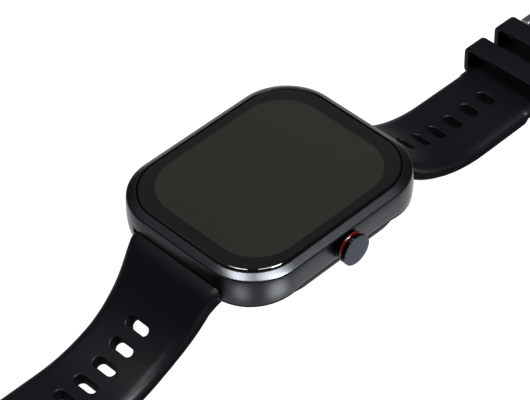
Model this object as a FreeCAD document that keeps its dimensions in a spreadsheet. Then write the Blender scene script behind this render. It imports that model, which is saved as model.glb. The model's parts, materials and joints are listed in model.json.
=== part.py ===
import FreeCAD, Part

import math
import os

import Sketcher

# Smartwatch with a two-part elastomer strap, laid open on a flat surface.
# Own frame in millimetres: origin at the centre of the flat rear face of the sensor window,
# +Z towards the display, +Y towards 12 o'clock, +X towards the crown.

V = FreeCAD.Vector
Constraint = Sketcher.Constraint

# Driving dimensions.
DIMENSIONS = {
    # case
    "case_half_width": 19.85,
    "case_half_length": 24.1,
    "case_corner": 11.0,
    "case_bottom": 4.6,
    "lug_bottom": 3.1,
    "arch_top": 4.2,
    "arch_flat_y": 11.0,
    "arch_mid_y": 16.4,
    "arch_mid_z": 3.6,
    "arch_end_y": 22.0,
    "case_top": 10.7,
    "bevel_drop": 0.8,
    "bevel_run": 1.57,
    "foot_round": 0.35,
    "glass_half_width": 17.95,
    "glass_half_length": 22.2,
    "glass_corner": 9.7,
    "glass_gap": 0.12,
    "glass_seat": 9.6,
    "glass_bottom": 9.7,
    "glass_top": 10.85,
    "glass_edge": 0.35,
    "adhesive_inset": 0.15,
    "adhesive_band": 0.85,
    "panel_half_width": 16.4,
    "panel_half_length": 20.0,
    "panel_corner": 8.9,
    "panel_bottom": 8.9,
    "panel_pocket_bottom": 8.2,
    "panel_gap": 0.4,
    "cavity_half_width": 16.4,
    "cavity_half_length": 19.0,
    "cavity_corner": 7.5,
    # back cover and sensor
    "cover_half_width": 18.85,
    "cover_half_length": 19.5,
    "cover_corner": 9.5,
    "cover_gap": 0.08,
    "cover_bottom": 1.0,
    "cover_top": 4.5,
    "cover_floor": 2.0,
    "cover_bevel_run": 2.4,
    "cover_bevel_rise": 1.7,
    "cover_pocket_half_width": 16.0,
    "cover_pocket_half_length": 16.6,
    "cover_pocket_corner": 7.0,
    "gasket_inset": 0.35,
    "gasket_band": 0.42,
    "window_radius": 12.0,
    "window_flat_radius": 7.5,
    "window_top": 1.6,
    "window_gap": 0.05,
    "boss_offset": 12.6,
    "boss_radius": 1.1,
    "boss_top": 3.0,
    "screw_radius": 0.45,
    "screw_head_radius": 0.85,
    "screw_head_height": 0.3,
    "screw_tip": 1.7,
    "led_offset": 1.6,
    "led_radius": 0.7,
    "chassis_half_width": 14.6,
    "chassis_half_length": 15.0,
    "chassis_corner": 6.0,
    "chassis_thickness": 0.3,
    # crown
    "crown_y": -0.2,
    "crown_z": 7.1,
    "crown_bore_radius": 1.6,
    "crown_dish_radius": 2.6,
    "crown_dish_floor": 18.7,
    "crown_face": 22.25,
    "crown_radius": 3.2,
    "crown_thickness": 0.5,
    "crown_groove_radius": 2.75,
    "crown_edge": 0.2,
    "crown_neck_radius": 2.3,
    "crown_neck_start": 19.2,
    "crown_shaft_radius": 0.9,
    "crown_shaft_start": 12.6,
    "crown_shaft_end": 21.6,
    "bush_start": 15.6,
    "bush_bore": 0.95,
    "bush_seal_bore": 1.3,
    "bush_seal_start": 16.6,
    "seal_ring_radius": 1.08,
    "seal_wire_radius": 0.18,
    "seal_first": 17.2,
    "seal_pitch": 0.8,
    "crown_break": 0.1,
    "switch_x": 10.05,
    "switch_long": 1.5,
    "switch_wide": 3.4,
    "switch_high": 2.6,
    "switch_bore": 0.55,
    "switch_bore_floor": 10.3,
    # strap attachment
    "pivot_y": 21.5,
    "pivot_z": 5.9,
    "barrel_radius": 1.5,
    "notch_half_width": 11.4,
    "notch_inner": 19.8,
    "notch_foot": 19.3,
    "notch_ceiling": 7.7,
    "lip_inner": 23.2,
    "lip_bottom": 6.75,
    "pin_hole_radius": 0.5,
    "pin_hole_depth": 1.4,
    "bar_tube_radius": 0.72,
    "bar_tube_bore": 0.46,
    "bar_tube_half": 10.4,
    "bar_pin_radius": 0.43,
    "bar_pin_tip": 12.3,
    "bar_pin_root": 8.0,
    "release_root": -6.0,
    "knob_x": -7.6,
    "knob_width": 1.0,
    "knob_drop": 2.4,
    "release_travel": 1.2,
    "slit_play": 0.2,
    "window_play": 0.35,
    "window_depth": 0.6,
    "spring_bore": 0.25,
    # straps
    "strap_root_half_width": 11.15,
    "strap_half_width": 9.3,
    "strap_tip_half_width": 9.0,
    "strap_thickness": 2.9,
    "strap_flat_z": -10.1,
    "strap_bore": 0.76,
    "shoulder_y": 24.1,
    "shoulder_z": 6.15,
    "band_start_y": 25.0,
    "heel_y": 23.3,
    "heel_z": 2.9,
    "heel_band_y": 27.0,
    "waist_start_y": 24.6,
    "waist_mid_y": 28.9,
    "waist_mid_half_width": 10.15,
    "waist_end_y": 36.0,
    "slot_pitch": 4.93,
    "long_bend": 30.0,
    "long_bend_y": 50.8,
    "long_tip_y": 131.0,
    "long_slot_first": -18.7,
    "long_slots": 18,
    "long_slot_width": 2.1,
    "long_slot_length": 5.3,
    "short_bend": 31.0,
    "short_bend_y": 50.4,
    "short_slot_first": -19.4,
    "short_slots": 7,
    "short_slot_width": 2.1,
    "short_slot_length": 4.2,
    # keepers and buckle
    "relief_start_y": 63.0,
    "relief_end_y": 83.0,
    "relief_depth": 0.95,
    "keeper_length": 5.0,
    "keeper_wall": 1.3,
    "keeper_skin": 0.8,
    "keeper_side_gap": 0.25,
    "keeper_inner_top": -5.5,
    "keeper_top_round": 1.5,
    "keeper_foot_round": 0.5,
    "keeper_free_y": 66.3,
    "keeper_fixed_y": 75.5,
    "buckle_y": 87.0,
    "buckle_bar_radius": 0.74,
    "bar_inset": 1.0,
    "bar_hole_inset": 0.8,
    "bar_fit": 0.04,
    "tongue_gap_half": 1.7,
    "tongue_gap_start": 84.6,
    "frame_half_width": 11.7,
    "frame_arm": 2.2,
    "frame_start_y": 85.2,
    "frame_end_y": 98.2,
    "frame_bar": 2.2,
    "frame_bottom": -11.5,
    "frame_top": -9.2,
    "frame_corner": 3.0,
    "tongue_half_width": 1.3,
    "tongue_hub_radius": 1.25,
    "tongue_thickness": 0.8,
    "tongue_rest_gap": 0.05,
    "tongue_nose_drop": 0.3,
    "tongue_nose_run": 0.5,
    "tongue_shoulder": 0.2,
    "tongue_end_y": 97.6,
}

# Plain inner blocks: corner x, y, z and length, width, height.
BLOCKS = {
    "display_flex": (-4.0, -18.4, 7.0, 8.0, 0.3, 1.9),
    "main_board": (-15.0, -15.0, 7.3, 24.6, 29.4, 0.6),
    "shield_can": (-12.0, -12.0, 7.9, 18.0, 20.0, 0.45),
    "battery": (-14.0, -12.0, 3.7, 23.5, 21.5, 3.2),
    "vibration_motor": (-12.8, 10.5, 3.7, 10.0, 4.4, 3.2),
    "speaker": (0.0, 10.5, 3.7, 9.0, 5.2, 3.2),
    "microphone": (10.4, 7.5, 3.7, 2.6, 3.4, 1.2),
    "crown_encoder": (12.4, -2.4, 3.6, 2.6, 4.4, 1.3),
}

# Round pieces on the Z axis: bottom, top, outer radius, bore radius.
RINGS = {
    "sensor_baffle": (1.6, 2.3, 10.6, 3.2),
    "sensor_board": (2.3, 2.8, 10.6, 0.0),
    "charging_coil": (2.0, 2.3, 15.2, 12.3),
}

# Round pieces on the crown axis: inner end, outer end, outer radius, bore radius.
CROWN_RINGS = {
    "thrust_pad": (12.1, 12.58, 1.2, 0.0),
    "switch_plunger": (10.75, 12.1, 0.5, 0.0),
    "encoder_wheel": (13.4, 14.2, 1.6, 0.9),
    "crown_clip": (15.3, 15.58, 1.5, 0.9),
    "crown_ring": (20.6, 21.15, 3.2, 2.3),
}

document = FreeCAD.newDocument("smartwatch")
sheet = document.addObject("Spreadsheet::Sheet", "Sizes")
nodes = []


def fill_sheet():
    """Write every driving dimension into its own aliased cell."""
    values = dict(DIMENSIONS)
    for name, numbers in BLOCKS.items():
        for suffix, number in zip(("x", "y", "z", "long", "wide", "high"), numbers):
            values[f"{name}_{suffix}"] = number
    for rings in (RINGS, CROWN_RINGS):
        for name, numbers in rings.items():
            for suffix, number in zip(("start", "end", "outer", "inner"), numbers):
                values[f"{name}_{suffix}"] = number
    for row, (alias, number) in enumerate(values.items(), start=1):
        sheet.set(f"A{row}", alias)
        sheet.set(f"B{row}", str(number))
        sheet.setAlias(f"B{row}", alias)
    document.recompute()


def size(alias):
    """One driving dimension as a plain number."""
    return float(sheet.get(alias))


def bind(thing, **expressions):
    """Bind properties to sheet formulas; aliases are written as they stand in the sheet."""
    for name, formula in expressions.items():
        thing.setExpression(name.replace("__", "."), formula)


def body(name):
    """A new PartDesign body that will be exported under its own name."""
    made = document.addObject("PartDesign::Body", name)
    made.Label = name
    nodes.append(made)
    return made


def sketch(owner, name, role="XY_Plane", offset=None):
    """A sketch on one of the body's origin planes, moved along the plane's normal."""
    made = owner.newObject("Sketcher::SketchObject", f"{owner.Name}_{name}")
    plane = next(item for item in owner.Origin.OriginFeatures if item.Role == role)
    made.AttachmentSupport = (plane, [""])
    made.MapMode = "FlatFace"
    if offset:
        made.setExpression("AttachmentOffset.Base.z", offset)
    return made


def measure(drawing, constraint, formula):
    """Add a dimension to a sketch and bind it to the sheet."""
    index = drawing.addConstraint(constraint)
    drawing.setExpression(f"Constraints[{index}]", formula)


def rounded_rectangle(drawing, half_width, half_length, corner):
    """A centred rectangle with round corners, fully constrained."""
    wide, deep, radius = 10.0, 12.0, 3.0
    line_ends = [
        ((radius - wide, deep), (wide - radius, deep)),
        ((wide, deep - radius), (wide, radius - deep)),
        ((wide - radius, -deep), (radius - wide, -deep)),
        ((-wide, radius - deep), (-wide, deep - radius)),
    ]
    arc_centres = [
        (wide - radius, deep - radius, 0),
        (wide - radius, radius - deep, 270),
        (radius - wide, radius - deep, 180),
        (radius - wide, deep - radius, 90),
    ]
    lines = [
        drawing.addGeometry(Part.LineSegment(V(*start, 0), V(*end, 0)), False)
        for start, end in line_ends
    ]
    arcs = []
    for x, y, start in arc_centres:
        circle = Part.Circle(V(x, y, 0), V(0, 0, 1), radius)
        arc = Part.ArcOfCircle(circle, math.radians(start), math.radians(start + 90))
        arcs.append(drawing.addGeometry(arc, False))
    for index in range(4):
        drawing.addConstraint(Constraint("Tangent", lines[index], 2, arcs[index], 2))
        drawing.addConstraint(Constraint("Tangent", arcs[index], 1, lines[(index + 1) % 4], 1))
    for index in (0, 2):
        drawing.addConstraint(Constraint("Horizontal", lines[index]))
        drawing.addConstraint(Constraint("Vertical", lines[index + 1]))
    for arc in arcs[1:]:
        drawing.addConstraint(Constraint("Equal", arcs[0], arc))
    drawing.addConstraint(Constraint("Symmetric", lines[0], 1, lines[2], 1, -1, 1))
    measure(drawing, Constraint("Radius", arcs[0], radius), corner)
    measure(drawing, Constraint("DistanceX", -1, 1, lines[1], 1, wide), half_width)
    measure(drawing, Constraint("DistanceY", -1, 1, lines[0], 1, deep), half_length)


def circle(drawing, x, y, radius, radius_formula):
    """A circle with a bound radius at a given centre."""
    index = drawing.addGeometry(Part.Circle(V(x, y, 0), V(0, 0, 1), radius), False)
    drawing.addConstraint(Constraint("DistanceX", -1, 1, index, 3, x))
    drawing.addConstraint(Constraint("DistanceY", -1, 1, index, 3, y))
    measure(drawing, Constraint("Radius", index, radius), radius_formula)


def chain(drawing, start, steps):
    """A closed outline: each step is an end point, or a (through, end) pair for an arc."""
    here = start
    for step in steps:
        if isinstance(step[0], tuple):
            through, end = step
            arc = Part.Arc(V(*here, 0), V(*through, 0), V(*end, 0))
            drawing.addGeometry(arc, False)
        else:
            end = step
            drawing.addGeometry(Part.LineSegment(V(*here, 0), V(*end, 0)), False)
        here = end


def pad(owner, profile, length, name, middle=False):
    feature = owner.newObject("PartDesign::Pad", f"{owner.Name}_{name}")
    feature.Profile = profile
    feature.Midplane = middle
    bind(feature, Length=length)
    document.recompute()
    return feature


def pocket(owner, profile, length, name, middle=False):
    """Cut a profile out of a body, and make sure that it really removes something."""
    before = owner.Shape.Volume
    feature = owner.newObject("PartDesign::Pocket", f"{owner.Name}_{name}")
    feature.Profile = profile
    feature.Midplane = middle
    bind(feature, Length=length)
    document.recompute()
    if not owner.Shape.Volume < before:
        raise RuntimeError(f"{feature.Name} removes nothing")
    return feature


def flat_edges(shape, height):
    """Names of the edges that lie in one horizontal plane."""
    return [
        f"Edge{number}"
        for number, edge in enumerate(shape.Edges, start=1)
        if abs(edge.BoundBox.ZMin - height) < 1e-6 and abs(edge.BoundBox.ZMax - height) < 1e-6
    ]


def bevel(owner, base, height, rise, run, name):
    """Chamfer the closed edge loop at a height: rise along Z, run in the plane."""
    feature = owner.newObject("PartDesign::Chamfer", f"{owner.Name}_{name}")
    feature.Base = (base, flat_edges(base.Shape, height)[:1])
    feature.ChamferType = "Two distances"
    bind(feature, Size=rise, Size2=run)
    document.recompute()
    return feature


def slab(owner, name, half_width, half_length, corner, bottom, height):
    """A rounded rectangular plate standing on a horizontal plane."""
    drawing = sketch(owner, f"{name}_outline", offset=bottom)
    rounded_rectangle(drawing, half_width, half_length, corner)
    return pad(owner, drawing, height, name)


def recess(owner, name, half_width, half_length, corner, top, depth):
    """A rounded rectangular pocket that goes down from a horizontal plane."""
    drawing = sketch(owner, f"{name}_outline", offset=top)
    rounded_rectangle(drawing, half_width, half_length, corner)
    return pocket(owner, drawing, depth, name)


def block(name):
    """A plain box bound to its six cells."""
    made = document.addObject("Part::Box", name)
    made.Label = name
    bind(made, Length=f"Sizes.{name}_long", Width=f"Sizes.{name}_wide", Height=f"Sizes.{name}_high")
    for axis in "xyz":
        made.setExpression(f"Placement.Base.{axis}", f"Sizes.{name}_{axis}")
    nodes.append(made)
    return made


def cylinder(name, radius, start, end, direction, centre=("0", "0", "0")):
    """A cylinder from one station to another along X or Z, bound to formulas."""
    made = document.addObject("Part::Cylinder", name)
    turn = FreeCAD.Rotation(V(0, 1, 0), 90) if direction == "x" else FreeCAD.Rotation()
    made.Placement = FreeCAD.Placement(V(0, 0, 0), turn)
    bind(made, Radius=radius, Height=f"({end}) - ({start})")
    for axis, place in zip("xyz", centre):
        formula = f"({place}) + ({start})" if axis == direction else place
        made.setExpression(f"Placement.Base.{axis}", formula)
    return made


def keep(made, name):
    """Mark a Part object as a sub-part."""
    made.Label = name
    nodes.append(made)
    return made


def cut(base, tool, name):
    made = document.addObject("Part::Cut", name)
    made.Base = base
    made.Tool = tool
    return made


def fuse(parts, name):
    made = document.addObject("Part::MultiFuse", name)
    made.Shapes = parts
    return made


def ring(name, direction, centre=("0", "0", "0")):
    """A disc or ring bound to its four cells."""
    start, end = f"Sizes.{name}_start", f"Sizes.{name}_end"
    if size(f"{name}_inner") == 0:
        return keep(cylinder(name, f"Sizes.{name}_outer", start, end, direction, centre), name)
    outer = cylinder(f"{name}_outer", f"Sizes.{name}_outer", start, end, direction, centre)
    inner = cylinder(f"{name}_bore", f"Sizes.{name}_inner", start, end, direction, centre)
    return keep(cut(outer, inner, name), name)


# ---------------------------------------------------------------- case

def case_frame():
    owner = body("case_frame")
    wall = slab(owner, "wall", "Sizes.case_half_width", "Sizes.case_half_length",
                "Sizes.case_corner", "Sizes.lug_bottom", "Sizes.case_top - Sizes.lug_bottom")
    bezel = bevel(owner, wall, size("case_top"), "Sizes.bevel_drop", "Sizes.bevel_run", "bezel")
    foot = owner.newObject("PartDesign::Fillet", "case_frame_foot")
    foot.Base = (bezel, flat_edges(bezel.Shape, size("lug_bottom"))[:1])
    bind(foot, Radius="Sizes.foot_round")
    document.recompute()
    recess(owner, "glass_well", "Sizes.glass_half_width + Sizes.glass_gap",
           "Sizes.glass_half_length + Sizes.glass_gap", "Sizes.glass_corner + Sizes.glass_gap",
           "Sizes.case_top", "Sizes.case_top - Sizes.glass_seat")
    recess(owner, "panel_well", "Sizes.panel_half_width + Sizes.panel_gap",
           "Sizes.panel_half_length + Sizes.panel_gap", "Sizes.panel_corner",
           "Sizes.glass_seat", "Sizes.glass_seat - Sizes.panel_pocket_bottom")
    recess(owner, "cavity", "Sizes.cavity_half_width", "Sizes.cavity_half_length",
           "Sizes.cavity_corner", "Sizes.panel_pocket_bottom",
           "Sizes.panel_pocket_bottom - Sizes.lug_bottom")
    recess(owner, "cover_seat", "Sizes.cover_half_width + Sizes.cover_gap",
           "Sizes.cover_half_length + Sizes.cover_gap", "Sizes.cover_corner + Sizes.cover_gap",
           "Sizes.case_bottom", "Sizes.case_bottom - Sizes.lug_bottom")
    side_arch(owner)
    for side, end in ((-1, "six"), (1, "twelve")):
        strap_notch(owner, side, end)
    bore = sketch(owner, "crown_bore", "YZ_Plane", "Sizes.case_half_width")
    circle(bore, size("crown_y"), size("crown_z"), size("crown_bore_radius"),
           "Sizes.crown_bore_radius")
    pocket(owner, bore, "Sizes.case_half_width - Sizes.cavity_half_width + 0.5", "crown_bore")
    dish = sketch(owner, "crown_dish", "YZ_Plane", "Sizes.case_half_width")
    circle(dish, size("crown_y"), size("crown_z"), size("crown_dish_radius"),
           "Sizes.crown_dish_radius")
    pocket(owner, dish, "Sizes.case_half_width - Sizes.crown_dish_floor", "crown_dish")


def side_arch(owner):
    """Raise the lower edge along both long sides, so that the four corners stand as lugs."""
    flat, top, below = size("arch_flat_y"), size("arch_top"), size("lug_bottom") - 1
    mid = (size("arch_mid_y"), size("arch_mid_z"))
    end = (size("arch_end_y"), size("lug_bottom"))
    profile = sketch(owner, "side_arch", "YZ_Plane")
    chain(profile, (-flat, top), [
        (flat, top), (mid, end), (end[0], below), (-end[0], below), (-end[0], end[1]),
        ((-mid[0], mid[1]), (-flat, top)),
    ])
    pocket(owner, profile, "2 * Sizes.case_half_width + 2", "side_arch", middle=True)


def strap_notch(owner, side, end):
    """The undercut that takes the strap's barrel, open downwards, and the two pin holes."""
    inner, lip = side * size("notch_inner"), side * size("lip_inner")
    foot, outside = side * size("notch_foot"), side * (size("case_half_length") + 1)
    below, bottom = size("lug_bottom") - 1, size("case_bottom")
    ceiling, lip_bottom = size("notch_ceiling"), size("lip_bottom")
    profile = sketch(owner, f"notch_{end}", "YZ_Plane")
    chain(profile, (foot, below), [
        (foot, bottom), (inner, bottom), (inner, ceiling), (lip, ceiling), (lip, lip_bottom),
        (outside, lip_bottom), (outside, below), (foot, below),
    ])
    pocket(owner, profile, "2 * Sizes.notch_half_width", f"notch_{end}", middle=True)
    holes = sketch(owner, f"pin_holes_{end}", "YZ_Plane")
    circle(holes, side * size("pivot_y"), size("pivot_z"), size("pin_hole_radius"),
           "Sizes.pin_hole_radius")
    pocket(owner, holes, "2 * (Sizes.notch_half_width + Sizes.pin_hole_depth)",
           f"pin_holes_{end}", middle=True)


def cover_glass():
    owner = body("cover_glass")
    plate = slab(owner, "plate", "Sizes.glass_half_width", "Sizes.glass_half_length",
                 "Sizes.glass_corner", "Sizes.glass_bottom",
                 "Sizes.glass_top - Sizes.glass_bottom")
    edge = owner.newObject("PartDesign::Fillet", "cover_glass_edge")
    edge.Base = (plate, flat_edges(plate.Shape, size("glass_top"))[:1])
    bind(edge, Radius="Sizes.glass_edge")
    document.recompute()


def frame_plate(name, half_width, half_length, corner, band, bottom, top):
    """A thin rounded rectangular frame of even width."""
    owner = body(name)
    slab(owner, "plate", half_width, half_length, corner, bottom, f"{top} - {bottom}")
    recess(owner, "window", f"{half_width} - {band}", f"{half_length} - {band}",
           f"{corner} - {band}", top, f"{top} - {bottom}")


def back_cover():
    owner = body("back_cover")
    dish = slab(owner, "dish", "Sizes.cover_half_width", "Sizes.cover_half_length",
                "Sizes.cover_corner", "Sizes.cover_bottom",
                "Sizes.cover_top - Sizes.cover_bottom")
    bevel(owner, dish, size("cover_bottom"), "Sizes.cover_bevel_rise", "Sizes.cover_bevel_run",
          "slope")
    recess(owner, "well", "Sizes.cover_pocket_half_width", "Sizes.cover_pocket_half_length",
           "Sizes.cover_pocket_corner", "Sizes.cover_top", "Sizes.cover_top - Sizes.cover_floor")
    opening = sketch(owner, "sensor_opening", offset="Sizes.cover_floor")
    circle(opening, 0, 0, size("window_radius"), "Sizes.window_radius + Sizes.window_gap")
    pocket(owner, opening, "Sizes.cover_floor - Sizes.cover_bottom", "sensor_opening")
    bosses = sketch(owner, "bosses", offset="Sizes.cover_floor")
    threads = sketch(owner, "threads", offset="Sizes.boss_top")
    for x, y in boss_places():
        circle(bosses, x, y, size("boss_radius"), "Sizes.boss_radius")
        circle(threads, x, y, size("screw_radius"), "Sizes.screw_radius")
    pad(owner, bosses, "Sizes.boss_top - Sizes.cover_floor", "bosses")
    pocket(owner, threads, "Sizes.boss_top - Sizes.screw_tip", "threads")


def boss_places():
    reach = size("boss_offset")
    return [(x, y) for x in (-reach, reach) for y in (-reach, reach)]


def sensor_window():
    """A round window with a shallow dome and a flat rear face."""
    owner = body("sensor_window")
    profile = sketch(owner, "dome", "XZ_Plane")
    flat, radius = size("window_flat_radius"), size("window_radius")
    cover_bottom, top = size("cover_bottom"), size("window_top")
    middle = (0.5 * (flat + radius) + 0.3, 0.38 * cover_bottom)
    chain(profile, (0.0, 0.0), [
        (flat, 0.0), (middle, (radius, cover_bottom)), (radius, top), (0.0, top), (0.0, 0.0),
    ])
    turned = owner.newObject("PartDesign::Revolution", "sensor_window_turned")
    turned.Profile = profile
    turned.ReferenceAxis = (profile, ["V_Axis"])
    turned.Angle = 360
    document.recompute()


def inner_chassis():
    owner = body("inner_chassis")
    slab(owner, "plate", "Sizes.chassis_half_width", "Sizes.chassis_half_length",
         "Sizes.chassis_corner", "Sizes.boss_top", "Sizes.chassis_thickness")
    holes = sketch(owner, "screw_holes", offset="Sizes.boss_top + Sizes.chassis_thickness")
    for x, y in boss_places():
        circle(holes, x, y, size("screw_radius"), "Sizes.screw_radius")
    pocket(owner, holes, "Sizes.chassis_thickness", "screw_holes")


def chassis_screws():
    screws = []
    head_bottom = "Sizes.boss_top + Sizes.chassis_thickness"
    for number, (x, y) in enumerate(boss_places(), start=1):
        centre = (str(x), str(y), "0")
        stem = cylinder(f"screw_stem_{number}", "Sizes.screw_radius", "Sizes.screw_tip",
                        head_bottom, "z", centre)
        head = cylinder(f"screw_head_{number}", "Sizes.screw_head_radius", head_bottom,
                        f"{head_bottom} + Sizes.screw_head_height", "z", centre)
        screws += [stem, head]
    keep(fuse(screws, "chassis_screws"), "chassis_screws")


def sensor_leds():
    """Four light sources in the opening of the baffle."""
    chips = []
    offset = size("led_offset")
    for number in range(4):
        turn = math.radians(45 + 90 * number)
        place = (str(offset * math.cos(turn)), str(offset * math.sin(turn)), "0")
        chips.append(cylinder(f"led_{number}", "Sizes.led_radius", "Sizes.window_top",
                              "Sizes.sensor_board_start", "z", place))
    keep(fuse(chips, "sensor_leds"), "sensor_leds")


def press_switch():
    """The switch that the crown presses, with a bore for its plunger."""
    housing = document.addObject("Part::Box", "switch_housing")
    bind(housing, Length="Sizes.switch_long", Width="Sizes.switch_wide", Height="Sizes.switch_high")
    bind(housing, Placement__Base__x="Sizes.switch_x",
         Placement__Base__y="Sizes.crown_y - Sizes.switch_wide / 2",
         Placement__Base__z="Sizes.crown_z - Sizes.switch_high / 2")
    hole = cylinder("switch_hole", "Sizes.switch_bore", "Sizes.switch_bore_floor",
                    "Sizes.switch_x + Sizes.switch_long + 1", "x", CROWN_AXIS)
    keep(cut(housing, hole, "press_switch"), "press_switch")


# ---------------------------------------------------------------- crown

CROWN_AXIS = ("0", "Sizes.crown_y", "Sizes.crown_z")


def crown_cap():
    """The knob: a thin cap on a narrower neck, bored for the shaft."""
    owner = body("crown_cap")
    owner.Placement = FreeCAD.Placement(V(0, size("crown_y"), size("crown_z")),
                                        FreeCAD.Rotation())
    face, thickness = size("crown_face"), size("crown_thickness")
    radius, neck, edge = size("crown_radius"), size("crown_neck_radius"), size("crown_edge")
    shaft, start = size("crown_shaft_radius"), size("crown_neck_start")
    groove, ring_front = size("crown_groove_radius"), size("crown_ring_end")
    crisp = size("crown_break")
    profile = sketch(owner, "section", "XZ_Plane")
    chain(profile, (start, shaft), [
        (start, neck), (ring_front, neck), (ring_front, groove), (face - thickness, groove),
        (face - thickness, radius - crisp), (face - thickness + crisp, radius),
        (face - edge, radius), (face, radius - edge),
        (face, 0.0), (size("crown_shaft_end"), 0.0), (size("crown_shaft_end"), shaft),
        (start, shaft),
    ])
    turned = owner.newObject("PartDesign::Revolution", "crown_cap_turned")
    turned.Profile = profile
    turned.ReferenceAxis = (profile, ["H_Axis"])
    turned.Angle = 360
    document.recompute()


def crown_shaft():
    keep(cylinder("crown_shaft", "Sizes.crown_shaft_radius", "Sizes.crown_shaft_start",
                  "Sizes.crown_shaft_end", "x", CROWN_AXIS), "crown_shaft")


def crown_bush():
    """The tube that guides the shaft and holds its seals."""
    tube = cylinder("bush_tube", "Sizes.crown_bore_radius", "Sizes.bush_start",
                    "Sizes.crown_dish_floor", "x", CROWN_AXIS)
    guide = cylinder("bush_guide", "Sizes.bush_bore", "Sizes.bush_start",
                     "Sizes.crown_dish_floor", "x", CROWN_AXIS)
    seat = cylinder("bush_seat", "Sizes.bush_seal_bore", "Sizes.bush_seal_start",
                    "Sizes.crown_dish_floor", "x", CROWN_AXIS)
    keep(cut(cut(tube, guide, "bush_guided"), seat, "crown_bush"), "crown_bush")


def crown_seals():
    seals = []
    for number in range(2):
        seal = document.addObject("Part::Torus", f"seal_{number}")
        seal.Placement = FreeCAD.Placement(V(0, 0, 0), FreeCAD.Rotation(V(0, 1, 0), 90))
        bind(seal, Radius1="Sizes.seal_ring_radius", Radius2="Sizes.seal_wire_radius")
        bind(seal, Placement__Base__x=f"Sizes.seal_first + {number} * Sizes.seal_pitch",
             Placement__Base__y="Sizes.crown_y", Placement__Base__z="Sizes.crown_z")
        seals.append(seal)
    keep(fuse(seals, "crown_seals"), "crown_seals")


# ---------------------------------------------------------------- straps

THROUGH = "120"


def bend_centre(prefix):
    return size(f"{prefix}_bend_y"), size("strap_flat_z") + size(f"{prefix}_bend")


def strap_point(prefix, travel):
    """Middle of the band and its slope at a travel from the point where it becomes flat."""
    radius = size(f"{prefix}_bend")
    centre_y, centre_z = bend_centre(prefix)
    if travel >= 0:
        return centre_y + travel, size("strap_flat_z"), 0.0
    angle = -travel / radius
    return centre_y - radius * math.sin(angle), centre_z - radius * math.cos(angle), angle


def strap_side(prefix, side, end_y, relieved):
    """Side outline of a strap: barrel, shoulder, bend, flat run and the heel under the barrel."""
    radius, half = size(f"{prefix}_bend"), 0.5 * size("strap_thickness")
    centre_y, centre_z = bend_centre(prefix)
    opening = math.asin((centre_y - size("band_start_y")) / radius)
    heel_turn = math.asin((centre_y - size("heel_band_y")) / radius)
    heel_y, heel_z = size("heel_y"), size("heel_z")
    pivot_y, pivot_z, barrel = size("pivot_y"), size("pivot_z"), size("barrel_radius")

    def bend(distance, angle):
        return (side * (centre_y - distance * math.sin(angle)),
                centre_z - distance * math.cos(angle))

    def on_barrel(degrees):
        turn = math.radians(degrees)
        return (side * (pivot_y + barrel * math.cos(turn)), pivot_z + barrel * math.sin(turn))

    away = math.atan2(pivot_z - heel_z, pivot_y - heel_y)
    reach = math.hypot(pivot_z - heel_z, pivot_y - heel_y)
    tangent = math.degrees(away) + 90 + math.degrees(math.asin(barrel / reach))
    flat_top, flat_bottom = size("strap_flat_z") + half, size("strap_flat_z") - half
    over_top, shoulder_start = 130, 20
    underside = [(side * end_y, flat_bottom)]
    if relieved:
        thin = flat_bottom + size("relief_depth")
        first, last = side * size("relief_start_y"), side * size("relief_end_y")
        underside += [(last, flat_bottom), (last, thin), (first, thin), (first, flat_bottom)]
    return on_barrel(tangent), [
        (on_barrel(over_top), on_barrel(shoulder_start)),
        (side * size("shoulder_y"), size("shoulder_z")),
        bend(radius - half, opening),
        (bend(radius - half, opening / 2), bend(radius - half, 0.0)),
        (side * end_y, flat_top),
        *underside,
        bend(radius + half, 0.0),
        (bend(radius + half, heel_turn / 2), bend(radius + half, heel_turn)),
        (side * heel_y, heel_z),
        on_barrel(tangent),
    ]


def trim_sides(owner, side, end_y, rounded):
    """Narrow the strap from its root, and round the free end of the long strap."""
    root, tip = size("strap_root_half_width"), size("strap_tip_half_width")
    outside = root + 1.0
    for hand, label in ((-1, "left"), (1, "right")):
        start = (hand * root, side * size("waist_start_y"))
        waist_mid = (hand * size("waist_mid_half_width"), side * size("waist_mid_y"))
        waist_end = (hand * size("strap_half_width"), side * size("waist_end_y"))
        steps = [(waist_mid, waist_end)]
        if rounded:
            turn = tip * math.sqrt(0.5)
            steps.append((hand * tip, side * (end_y - tip)))
            steps.append(((hand * turn, side * (end_y - tip + turn)), (0.0, side * end_y)))
            steps.append((0.0, side * (end_y + 1)))
        else:
            steps.append((hand * tip, side * (end_y + 1)))
        steps += [(hand * outside, side * (end_y + 1)),
                  (hand * outside, side * size("waist_start_y")), start]
        drawing = sketch(owner, f"{label}_side")
        chain(drawing, start, steps)
        pocket(owner, drawing, THROUGH, f"{label}_side", middle=True)


def slots(owner, prefix, side):
    """Adjustment and vent slots, each cut square to the band."""
    width = size(f"{prefix}_slot_width")
    half_straight, radius = 0.5 * (size(f"{prefix}_slot_length") - width), 0.5 * width
    for number in range(int(size(f"{prefix}_slots"))):
        travel = size(f"{prefix}_slot_first") + number * size("slot_pitch")
        place, height, slope = strap_point(prefix, travel)
        drawing = sketch(owner, f"slot_{number}")
        turn = FreeCAD.Rotation(V(1, 0, 0), math.degrees(-side * slope))
        drawing.AttachmentOffset = FreeCAD.Placement(V(0, side * place, height), turn)
        chain(drawing, (-half_straight, radius), [
            (half_straight, radius),
            ((half_straight + radius, 0.0), (half_straight, -radius)),
            (-half_straight, -radius),
            ((-half_straight - radius, 0.0), (-half_straight, radius)),
        ])
        pocket(owner, drawing, "2 * Sizes.strap_thickness", f"slot_{number}", middle=True)


def bore_across(owner, y, z, name):
    drawing = sketch(owner, f"{name}_bore", "YZ_Plane")
    circle(drawing, y, z, size("strap_bore"), "Sizes.strap_bore")
    pocket(owner, drawing, "2 * Sizes.strap_root_half_width + 2", f"{name}_bore", middle=True)


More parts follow.
